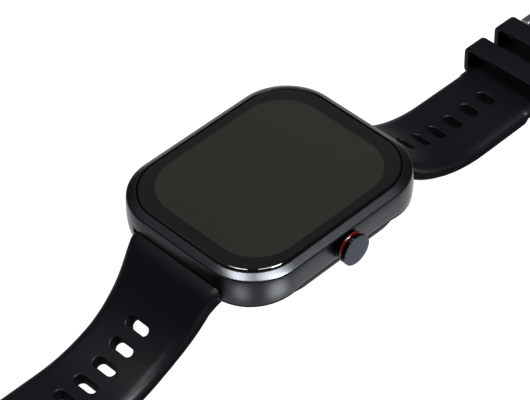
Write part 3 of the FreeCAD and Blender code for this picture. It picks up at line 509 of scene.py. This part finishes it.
def build_glass():
    """Cover glass with a rounded upper edge and a small chamfer below."""
    chamfer = 0.15
    rings = [level(inset(GLASS, chamfer), GLASS_LOW)]
    rings.append(level(GLASS, GLASS_LOW + chamfer))
    for step in range(9):
        turn = math.radians(90 * step / 8)
        depth = GLASS_EDGE * (1 - math.cos(turn))
        rings.append(level(inset(GLASS, depth), GLASS_TOP - GLASS_EDGE * (1 - math.sin(turn))))
    add_mesh("cover_glass_piece", *loft(rings), "case", GLAZE, "glass", ["cover_glass"])


def build_back():
    """Back cover with a coved edge, and the sensor window in its middle."""
    face_z, inner_z, rim_z, hole_radius = 1.0, 2.0, 4.5, 12.05
    inside = (16.0, 16.6, 7.0)
    path = rounded([(0.0, rim_z), (0.0, 2.7), (2.4, face_z), (4.2, face_z)], [0, 0.5, 1.4, 0], 6)
    rings = [level(inset(COVER, COVER[0] - inside[0]), rim_z)]
    rings += [level(inset(COVER, depth), z) for depth, z in path]
    hole = []
    for x, y, _ in rings[-1]:
        reach = math.hypot(x, y)
        hole.append((x * hole_radius / reach, y * hole_radius / reach))
    rings += [[(x, y, z) for x, y in hole] for z in (face_z, inner_z)]
    rings += [level(inside, z) for z in (inner_z, rim_z)]
    add_mesh("back_cover_piece", *loft(rings, closed=True), "case", CERAMIC, "cover_ceramic",
             ["back_cover"])
    dome_height, dome_outer, dome_inner, dome_steps = 0.882, 11.6, 7.5, 12
    profile = [(1.6, 0.0), (1.6, 12.0), (face_z, 12.0), (0.93, 11.93)]
    for step in range(dome_steps + 1):
        share = 1 - step / dome_steps
        profile.append((dome_height * share * (2 - share), dome_inner + (dome_outer - dome_inner) * share))
    profile += [(0.0, 7.0), (0.0, 0.0)]
    add_mesh("sensor_window_piece", *loft(spun(profile, "z", (0, 0, 0), 128), caps=False),
             "case", SLOT_FINISH["sensor_glass"], "sensor_glass", ["sensor_window"])


def build_crown():
    """Cap with a flange, a groove and a face disc, and the red ring behind it."""
    centre = (0, CROWN_Y, CROWN_Z)
    cap = rounded([(21.6, 0.0), (21.6, 0.9), (19.2, 0.9), (19.2, 2.3), (21.15, 2.3), (21.2, 2.75),
                   (21.66, 2.75), (21.66, 3.2), (21.92, 3.2), (21.92, 3.08), (22.0, 3.08),
                   (22.0, 3.18), (22.25, 3.18), (22.25, 2.4), (22.25, 0.0)],
                  [0, 0, 0, 0.1, 0, 0, 0.05, 0.05, 0.11, 0, 0, 0.03, 0.03, 0, 0], 5)
    add_mesh("crown_cap_piece", *loft(spun(cap, "x", centre, 128), caps=False), "crown",
             CROWN_METAL, "crown_metal", ["crown_cap"])
    band = rounded([(20.85, 2.3), (20.6, 2.3), (20.6, 3.2), (21.15, 3.2), (21.15, 2.3), (20.85, 2.3)],
                   [0, 0, 0.26, 0.26, 0, 0], 6)
    add_mesh("crown_ring_piece", *loft(spun(band, "x", centre, 128), caps=False), "crown",
             ACCENT, "crown_accent", ["crown_ring"])


# ---------------------------------------------------------------- straps

SLOT_RADIUS = 1.05
LONG = {"slot_half": 2.65, "radius": 30.0, "centre_y": 50.8, "first": -18.7,
        "slots": 18, "end_y": 131.0}
SHORT = {"slot_half": 2.1, "radius": 31.0, "centre_y": 50.4, "first": -19.4,
         "slots": 7, "end_y": 88.45}
CORE = 3.9
CORE_STEPS = 8
CELL_STEPS = 12
BAND_START_Y = 27.0
HEEL = (23.3, 2.9)
THIN_RISE = 0.95
TIP = 9.0
WIDTHS = ((24.2, 11.15), (25.3, 10.8), (26.6, 10.5), (28.9, 10.15), (31.5, 9.8), (34.0, 9.5),
          (37.0, 9.3))


def smooth(value, start, end):
    t = min(max((value - start) / (end - start), 0.0), 1.0)
    return t * t * (3 - 2 * t)


def half_width(y, end_y):
    if y <= WIDTHS[0][0]:
        return WIDTHS[0][1]
    for (y0, w0), (y1, w1) in zip(WIDTHS, WIDTHS[1:]):
        if y < y1:
            return w0 + (w1 - w0) * (y - y0) / (y1 - y0)
    return WIDTHS[-1][1] - (WIDTHS[-1][1] - TIP) * (y - y1) / (end_y - TIP - y1)


def band(shape, travel):
    """Lower and upper points (y, z) of the band at a travel from where it becomes flat."""
    radius, centre_y = shape["radius"], shape["centre_y"]
    angle = max(-travel / radius, 0.0)
    flat = max(travel, 0.0)
    centre_z = FLAT_Z + radius
    low, high = [(centre_y + flat - reach * math.sin(angle), centre_z - reach * math.cos(angle))
                 for reach in (radius + HALF_THICK, radius - HALF_THICK)]
    if shape is SHORT:
        y = centre_y + flat
        rise = THIN_RISE * (smooth(y, 62.9, 63.3) - smooth(y, 82.7, 83.1))
        low = (low[0], low[1] + rise)
    return low, high


def resample(path, steps):
    """Evenly spaced points along an open path."""
    gaps = [math.dist(p, q) for p, q in zip(path, path[1:])]
    made, total = [path[0]], sum(gaps)
    for step in range(1, steps):
        left = total * step / steps
        for start, end, gap in zip(path, path[1:], gaps):
            if left <= gap:
                made.append(tuple(s + (e - s) * left / gap for s, e in zip(start, end)))
                break
            left -= gap
    return made + [path[-1]]


def root(shape):
    """Low and high points from the barrel's nose to the start of the band."""
    low, high = band(shape, band_start(shape))
    reach = math.dist((PIVOT_Y, PIVOT_Z), HEEL)
    lean = math.atan2(PIVOT_Z - HEEL[1], PIVOT_Y - HEEL[0]) + math.asin(BARREL / reach)
    last = math.degrees(lean) + 90

    def on_barrel(degrees):
        turn = math.radians(degrees)
        return (PIVOT_Y + BARREL * math.cos(turn), PIVOT_Z + BARREL * math.sin(turn))

    pairs = [(on_barrel(180 + (last - 180) * n / 8), on_barrel(180 - 90 * n / 8)) for n in range(9)]
    under = resample(rounded([on_barrel(last), HEEL, low], [0, 0.7, 0], 6), 20)
    shoulder = [on_barrel(90 - 13 * n) for n in range(5)] + [(23.25, 6.48)]
    bend = [Vector(shoulder[-1]), Vector((25.85, 5.95)), Vector(high)]
    over = list(shoulder)
    for t in (n / 12 for n in range(1, 13)):
        over.append(tuple(bend[0].lerp(bend[1], t).lerp(bend[1].lerp(bend[2], t), t)))
    return pairs[:-1] + list(zip(under, resample(over, 20)))[:-1]


def band_start(shape):
    return -shape["radius"] * math.asin((shape["centre_y"] - BAND_START_Y) / shape["radius"])


def rows_to_first_slot(shape):
    """Low and high points of every station from the nose to the first slot's cell."""
    start, first = band_start(shape), shape["first"] - PITCH / 2
    return root(shape) + [band(shape, start + (first - start) * n / 16) for n in range(17)]


def section(y, end_y):
    """Half section at a station: list of (x, height) from the core's edge over the side."""
    half = half_width(y, end_y)
    spread = smooth(y, 23.5, 31.0)
    crown = 0.05 + 0.08 * spread
    wide, drop = 1.3 + 1.0 * spread, 0.9 + 0.7 * spread
    foot = 0.4 + 0.1 * spread

    def top(x):
        return HALF_THICK - crown * abs(x / half) ** 2.4

    flat = [CORE + (half - wide - CORE) * share for share in (0.0, 0.25, 0.5, 0.75)]
    points = [(x, top(x)) for x in flat]
    brink = top(half - wide)
    for step in range(12):
        turn = math.radians(90 * step / 11)
        points.append((half - wide + wide * math.sin(turn), brink - drop * (1 - math.cos(turn))))
    for step in range(6):
        turn = math.radians(90 * step / 5)
        points.append((half - foot + foot * math.cos(turn), -HALF_THICK + foot - foot * math.sin(turn)))
    for share in (0.75, 0.5, 0.25, 0.0):
        points.append((CORE + (half - foot - CORE) * share, -HALF_THICK))
    return points, top


class Skin:
    """Collects faces of a strap; a point is a station's low and high with x and height."""

    def __init__(self, side):
        self.side, self.verts, self.faces = side, [], []

    def point(self, low, high, x, height):
        share = (height + HALF_THICK) / (2 * HALF_THICK)
        y = low[0] + (high[0] - low[0]) * share
        z = low[1] + (high[1] - low[1]) * share
        return (x, self.side * y, z)

    def face(self, corners):
        start = len(self.verts)
        self.verts += corners
        self.faces.append(tuple(range(start, start + len(corners))))


def core_row(top):
    xs = [-CORE + 2 * CORE * n / CORE_STEPS for n in range(CORE_STEPS + 1)]
    return [(x, top(x)) for x in xs], [(x, -HALF_THICK) for x in xs]


def strap_strip(skin, shape, a, b, core=True):
    """Skin between two stations: both side flanks and, where there is no slot, the core."""
    (low_a, high_a), (low_b, high_b) = a, b
    mid_a, mid_b = (0.5 * (low_a[0] + high_a[0]), 0.5 * (low_b[0] + high_b[0]))
    sec_a, top_a = section(mid_a, shape["end_y"])
    sec_b, top_b = section(mid_b, shape["end_y"])
    for hand in (-1, 1):
        for (xa, ha), (xa2, ha2), (xb, hb), (xb2, hb2) in zip(sec_a, sec_a[1:], sec_b, sec_b[1:]):
            skin.face([skin.point(low_a, high_a, hand * xa, ha),
                       skin.point(low_a, high_a, hand * xa2, ha2),
                       skin.point(low_b, high_b, hand * xb2, hb2),
                       skin.point(low_b, high_b, hand * xb, hb)])
    if core:
        for row_a, row_b in zip(core_row(top_a), core_row(top_b)):
            for p, p2, q, q2 in zip(row_a, row_a[1:], row_b, row_b[1:]):
                skin.face([skin.point(low_a, high_a, *p), skin.point(low_a, high_a, *p2),
                           skin.point(low_b, high_b, *q2), skin.point(low_b, high_b, *q)])


def stadium(shape, grow):
    """Points (x, travel) round a slot that is grown outwards, in step with the cell's edge."""
    radius, straight = SLOT_RADIUS + grow, shape["slot_half"] - SLOT_RADIUS
    points = []
    for hand in (1, -1):
        for step in range(CELL_STEPS):
            turn = math.radians(-90 + 180 * step / CELL_STEPS)
            points.append((hand * (straight + radius * math.cos(turn)), hand * radius * math.sin(turn)))
        for step in range(CORE_STEPS):
            share = 1 - 2 * step / CORE_STEPS
            points.append((hand * straight * share, hand * radius))
    return points


def cell_edge():
    points = []
    for hand in (1, -1):
        for step in range(CELL_STEPS):
            points.append((hand * CORE, hand * (-PITCH / 2 + PITCH * step / CELL_STEPS)))
        for step in range(CORE_STEPS):
            points.append((hand * CORE * (1 - 2 * step / CORE_STEPS), hand * PITCH / 2))
    return points


def slot_cell(skin, shape, middle):
    """The core round one slot, with rounded rims above and below."""
    rim, under, around, mid_drop = 0.3, 0.2, 0.7, 0.5
    rings = [(cell_edge(), 0.0, 1), (stadium(shape, around), 0.0, 1)]
    for step in range(6):
        turn = math.radians(90 * step / 5)
        rings.append((stadium(shape, rim * (1 - math.sin(turn))), rim * (1 - math.cos(turn)), 1))
    rings.append((stadium(shape, 0.0), mid_drop, 0))
    for step in range(4):
        turn = math.radians(90 * (3 - step) / 3)
        rings.append((stadium(shape, under * (1 - math.sin(turn))), under * (1 - math.cos(turn)), -1))
    rings += [(stadium(shape, around), 0.0, -1), (cell_edge(), 0.0, -1)]
    placed = []
    for points, drop, face in rings:
        row = []
        for x, along in points:
            low, high = band(shape, middle + along)
            top = section(0.5 * (low[0] + high[0]), shape["end_y"])[1]
            height = top(x) - drop if face == 1 else -HALF_THICK + drop
            if face == 0:
                height = 0.0
            row.append(skin.point(low, high, x, height))
        placed.append(row)
    for a, b in zip(placed, placed[1:]):
        for n in range(len(a)):
            m = (n + 1) % len(a)
            skin.face([a[n], a[m], b[m], b[n]])


def build_strap(name, shape, side, body, nodes):
    """One strap half; its slot walls and flanks get the matte finish."""
    skin = Skin(side)
    rows = rows_to_first_slot(shape)
    for a, b in zip(rows, rows[1:]):
        strap_strip(skin, shape, a, b)
    for number in range(shape["slots"]):
        middle = shape["first"] + number * PITCH
        slot_cell(skin, shape, middle)
        cuts = [band(shape, middle - PITCH / 2 + PITCH * n / CELL_STEPS) for n in range(CELL_STEPS + 1)]
        for a, b in zip(cuts, cuts[1:]):
            strap_strip(skin, shape, a, b, core=False)
    after = shape["first"] + (shape["slots"] - 0.5) * PITCH
    if shape is LONG:
        last = shape["end_y"] - TIP - shape["centre_y"]
        rows = [band(shape, after + (last - after) * n / 6) for n in range(7)]
        for a, b in zip(rows, rows[1:]):
            strap_strip(skin, shape, a, b)
        round_tip(skin, shape, rows[-1])
    else:
        stops = [after + (BUCKLE_BAR_Y - shape["centre_y"] - after) * n / 60 for n in range(61)]
        rows = [band(shape, stop) for stop in stops]
        for step in range(1, 9):
            turn = math.radians(90 - 90 * step / 8)
            reach = BUCKLE_BAR_Y + HALF_THICK * math.cos(turn)
            rows.append(((reach, FLAT_Z - HALF_THICK * math.sin(turn)),
                         (reach, FLAT_Z + HALF_THICK * math.sin(turn))))
        for a, b in zip(rows, rows[1:]):
            strap_strip(skin, shape, a, b)
    piece = add_mesh(name, skin.verts, skin.faces, body, RUBBER, "strap", nodes)
    knob_x, knob_half = (-8.45, -5.55), 0.85
    tools = [rod_cutter("bore", -12, 12, PIN_BORE, side * PIVOT_Y, PIVOT_Z),
             box_cutter("window", (knob_x[0], side * PIVOT_Y - knob_half, 2.0),
                        (knob_x[1], side * PIVOT_Y + knob_half, PIVOT_Z))]
    if shape is SHORT:
        tools.append(rod_cutter("buckle_bore", -12, 12, PIN_BORE, BUCKLE_BAR_Y, FLAT_Z))
        tools.append(box_cutter("tongue_gap", (-1.7, 84.6, -14), (1.7, 90.0, -6)))
    carve(piece, tools)
    piece.data.materials.append(SLOT_WALL)
    steepest, upright = 0.9, 0.4
    for face in piece.data.polygons:
        y = (face.center / MM).y
        tilt = min(max(shape["centre_y"] - abs(y), 0.0) / shape["radius"], steepest)
        up = Vector((0, side * tilt, math.sqrt(1 - tilt * tilt)))
        if abs(y) > BAND_START_Y - 3 and abs(face.normal.dot(up)) < upright:
            face.material_index = 1


def round_tip(skin, shape, row):
    """Half turn of the band's section round the middle of its last station."""
    low, high = row
    sec, top = section(low[0], shape["end_y"])
    inner = [(CORE * n / (CORE_STEPS // 2), top(CORE * n / (CORE_STEPS // 2)))
             for n in range(CORE_STEPS // 2)]
    floor_row = [(x, -HALF_THICK) for x, _ in reversed(inner)]
    profile = inner + sec + floor_row
    steps = 32

    def place(x, height, turn):
        return (x * math.cos(turn), skin.side * (low[0] + x * math.sin(turn)),
                skin.point(low, high, x, height)[2])

    for step in range(steps):
        a, b = math.pi * step / steps, math.pi * (step + 1) / steps
        for (x, h), (x2, h2) in zip(profile, profile[1:]):
            skin.face([place(x, h, a), place(x2, h2, a), place(x2, h2, b), place(x, h, b)])


def sweep(path, frame_of, profile):
    """Rings of a section swept along a path; frame_of gives the two section axes at a point."""
    rings = []
    for n, point in enumerate(path):
        across, up = frame_of(n)
        rings.append([tuple(Vector(point) + across * u + up * v) for u, v in profile])
    return loft(rings)


def round_section(half_u, half_v, radius, steps=5):
    points = []
    for su, sv, start in ((1, 1, 0), (-1, 1, 90), (-1, -1, 180), (1, -1, 270)):
        for step in range(steps + 1):
            turn = math.radians(start + 90 * step / steps)
            points.append((su * (half_u - radius) + radius * math.cos(turn),
                           sv * (half_v - radius) + radius * math.sin(turn)))
    return points


def build_keeper(name, body, node):
    """A loop of elastomer: a rounded section swept round the band."""
    low, high = (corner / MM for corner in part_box(node))
    centre = (low + high) / 2
    wall_x, wall_z, corner, inner_corner = 1.3, 0.8, 1.5, 0.6
    half_x, half_z = (high.x - low.x) / 2, (high.z - low.z) / 2
    half_y = (high.y - low.y) / 2
    edge, part, inner_edge = 0.3, 0.09, 0.2
    rows = []

    def add_row(size_x, size_z, radius, y):
        rows.append([(centre.x + x, centre.y + y, centre.z + z)
                     for x, z in outline(size_x, size_z, radius, 10, 10)])

    for share, y in ((edge, -half_y), (part, -half_y + part), (0.0, -half_y + edge),
                     (0.0, half_y - edge), (part, half_y - part), (edge, half_y)):
        add_row(half_x - share, half_z - share, corner - share, y)
    for share, y in ((inner_edge, half_y), (0.0, half_y - inner_edge),
                     (0.0, -half_y + inner_edge), (inner_edge, -half_y)):
        add_row(half_x - wall_x + share, half_z - wall_z + share, inner_corner + share, y)
    add_mesh(name, *loft(rows, closed=True), body, RUBBER, "strap", [node])


def build_buckle():
    """The frame: a rounded section swept along a U that is open at the bar."""
    low, high = (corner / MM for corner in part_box("buckle_frame"))
    arm, corner = 2.2, 3.0
    half, half_z, centre_z = high.x - arm / 2, (high.z - low.z) / 2, (low.z + high.z) / 2
    end = high.y - arm / 2
    bend = corner - arm / 2 + 0.6
    start_y, bend_y = low.y + 0.02, end - bend
    arm_ys = [low.y + (bend_y - low.y) * n / 6 for n in range(1, 6)]

    def add_bend(middle_x, start):
        for step in range(13):
            turn = math.radians(start + 90 * step / 12)
            path.append((middle_x + bend * math.cos(turn), bend_y + bend * math.sin(turn), centre_z))

    path = [(half, y, centre_z) for y in [start_y] + arm_ys]
    add_bend(half - bend, 0)
    path += [(x, end, centre_z) for x in (4.0, 0.0, -4.0)]
    add_bend(bend - half, 90)
    path += [(-half, y, centre_z) for y in arm_ys[::-1] + [start_y]]
    points = [Vector(p) for p in path]

    def frame_of(n):
        ahead = points[min(n + 1, len(points) - 1)] - points[max(n - 1, 0)]
        ahead.normalize()
        return Vector((ahead.y, -ahead.x, 0)), Vector((0, 0, 1))

    verts, faces = sweep(points, frame_of, round_section(arm / 2, half_z, 0.55))
    piece = add_mesh("buckle_frame_piece", verts, faces, "buckle", STEEL, "buckle_metal",
                     ["buckle_frame"])
    hole_x, edge_break = 10.9, 0.12
    carve(piece, [rod_cutter("bar_hole", -hole_x, hole_x, BAR_BORE, BUCKLE_BAR_Y, FLAT_Z)], edge_break)


def build_tongue():
    """The prong: an eye round the bar that runs out into a rounded finger."""
    _, high = (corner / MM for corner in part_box("buckle_tongue"))
    eye, bar_y, half, thick, chamfer = 1.25, BUCKLE_BAR_Y, high.x, 0.8, 0.12
    bottom, top, end = high.z - thick, high.z, high.y
    side_path = [(bar_y + math.sqrt(eye ** 2 - (bottom - FLAT_Z) ** 2), bottom)]
    start = math.atan2(bottom - FLAT_Z, side_path[0][0] - bar_y)
    for step in range(1, 25):
        turn = start - (math.radians(270) + start - math.radians(4)) * step / 24
        side_path.append((bar_y + eye * math.cos(turn), FLAT_Z + eye * math.sin(turn)))
    side_path += [(bar_y + 0.6, top), (bar_y + 4.0, top), (end - 1.2, top)]
    side_path += [(end - 0.4, top - 0.12), (end, top - 0.4), (end - 0.1, bottom + 0.1),
                  (end - 0.5, bottom)]
    rows = []
    for x, shrink in ((-half, chamfer), (-half + chamfer, 0.0), (half - chamfer, 0.0), (half, chamfer)):
        row = []
        for y, z in side_path:
            inward = Vector((bar_y - y, FLAT_Z - z))
            if y > bar_y + eye:
                inward = Vector((0 if y < end - 0.6 else -1, (bottom + top) / 2 - z))
            inward = inward.normalized() * shrink if inward.length else inward
            row.append((x, y + inward.x, z + inward.y))
        rows.append(row)
    piece = add_mesh("buckle_tongue_piece", *loft(rows), "tongue", STEEL, "buckle_metal",
                     ["buckle_tongue"])
    carve(piece, [rod_cutter("eye", -3, 3, BAR_BORE, bar_y, FLAT_Z)])


build_case()
build_glass()
build_back()
build_crown()
build_strap("strap_long_piece", LONG, -1, "long_strap", ["strap_long"])
build_strap("strap_short_piece", SHORT, 1, "short_strap", ["strap_short"])
build_keeper("keeper_fixed_piece", "short_strap", "keeper_fixed")
build_keeper("keeper_free_piece", "free_keeper", "keeper_free")
build_buckle()
build_tongue()


# ---------------------------------------------------------------- stage

# Painted pools of light: brighter glowing patches of floor beside the case, seen in its reflections: centre,
# stretch, start and end of the fade, strength near and far.
LIGHT_POOLS = (((0.035, 0.012, 0), (1, 0.28, 1), 0.002, 0.014, 1.9, 1.0),
         ((0.0225, -0.041, 0), (1, 1, 1), 0.001, 0.011, 5.6, 0.0),
         ((0.0405, -0.0175, 0), (1, 1, 1), 0.002, 0.014, 7.5, 0.0))
# Brighter patches of sky: direction, start and end of the fade, strength outside and inside.
GLOWS = (((-0.523, 0.499, 0.691), 0.75, 0.97, 0.18, 0.5),
         ((-0.56, -0.25, 0.79), 0.86, 0.98, 0.0, 0.55))
FLOOR_HALF, FLOOR_GAP = 3, 0.00003
FLOOR_Z = CAD_BOX[0][2] - FLOOR_GAP


def floor_light_pools():
    """Pale self-lit surface with painted pools of light beside the case, glowing brighter than the rest."""
    made, tree, shader = new_material("floor_light_pools")
    shader.inputs["Base Color"].default_value = (0.05, 0.05, 0.05, 1)
    shader.inputs["Roughness"].default_value = 0.9
    shader.inputs["Specular IOR Level"].default_value = 0.0
    shader.inputs["Emission Color"].default_value = (1, 1, 1, 1)
    place = tree.nodes.new("ShaderNodeTexCoord")
    fades = []
    for centre, stretch, start, end, near, far in LIGHT_POOLS:
        offset = vector_math(tree, "SUBTRACT", place.outputs["Object"], (centre[0], centre[1], FLOOR_Z))
        squeeze = vector_math(tree, "MULTIPLY", offset.outputs["Vector"], stretch)
        away = vector_math(tree, "LENGTH", squeeze.outputs["Vector"])
        fades.append(smooth_range(tree, away.outputs["Value"], start, end, near, far))
    link(tree, summed(tree, fades), shader.inputs["Emission Strength"])
    return made


def build_floor():
    corners = [(x * FLOOR_HALF, y * FLOOR_HALF, FLOOR_Z) for x, y in ((-1, -1), (1, -1), (1, 1), (-1, 1))]
    mesh = bpy.data.meshes.new("floor")
    mesh.from_pydata(corners, [], [(0, 1, 2, 3)])
    floor = bpy.data.objects.new("floor", mesh)
    bpy.context.scene.collection.objects.link(floor)
    floor.data.materials.append(floor_light_pools())


def build_sky():
    world = bpy.data.worlds.new("studio")
    bpy.context.scene.world = world
    world.use_nodes = True
    sky = world.node_tree
    background = sky.nodes["Background"]
    place = sky.nodes.new("ShaderNodeTexCoord")
    glows = []
    for towards, start, end, low, high in GLOWS:
        facing = vector_math(sky, "DOT_PRODUCT", place.outputs["Generated"], towards)
        glows.append(smooth_range(sky, facing.outputs["Value"], start, end, low, high))
    link(sky, summed(sky, glows), background.inputs["Strength"])
    background.inputs["Color"].default_value = (0.97, 0.98, 1.0, 1)


build_floor()
build_sky()


LAMP_HEIGHT = 0.9


def softbox(name, sideways, forward, width, depth, power):
    """A lamp overhead, moved sideways and forward as the camera sees it."""
    light = bpy.data.lights.new(name, "AREA")
    light.shape = "RECTANGLE"
    light.size, light.size_y = width, depth
    light.energy = power
    lamp = bpy.data.objects.new(name, light)
    across, towards = Vector((0.691, 0.723, 0)), Vector((0.723, -0.691, 0))
    place = across * sideways + towards * forward + Vector((0, 0, LAMP_HEIGHT))
    back = place.normalized()
    side = (across - back * across.dot(back)).normalized()
    turn = Matrix((side, back.cross(side), back)).transposed()
    lamp.matrix_world = Matrix.Translation(place) @ turn.to_4x4()
    bpy.context.scene.collection.objects.link(lamp)


softbox("overhead_left", -0.235, 0.14, 0.26, 0.42, 11.0)
softbox("overhead_right", 0.215, 0.14, 0.31, 0.42, 10.0)
softbox("side_right", 0.54, 0.38, 0.22, 0.36, 36.0)

camera_data = bpy.data.cameras.new("camera")
camera = bpy.data.objects.new("camera", camera_data)
bpy.context.scene.collection.objects.link(camera)
camera_data.sensor_width = 36
camera_data.lens = 165.09
right = Vector((0.70445, 0.70946, -0.02028))
down = Vector((0.48002, -0.49728, -0.72270))
ahead = Vector((-0.52281, 0.49937, -0.69087))
turn = Matrix((right, -down, -ahead)).transposed()
camera.matrix_world = Matrix.Translation((0.2343, -0.2252, 0.3153)) @ turn.to_4x4()
camera_data.clip_start = 0.01
bpy.context.scene.camera = camera
bpy.context.scene.view_settings.view_transform = "Standard"
bpy.context.scene.view_settings.gamma = 0.8
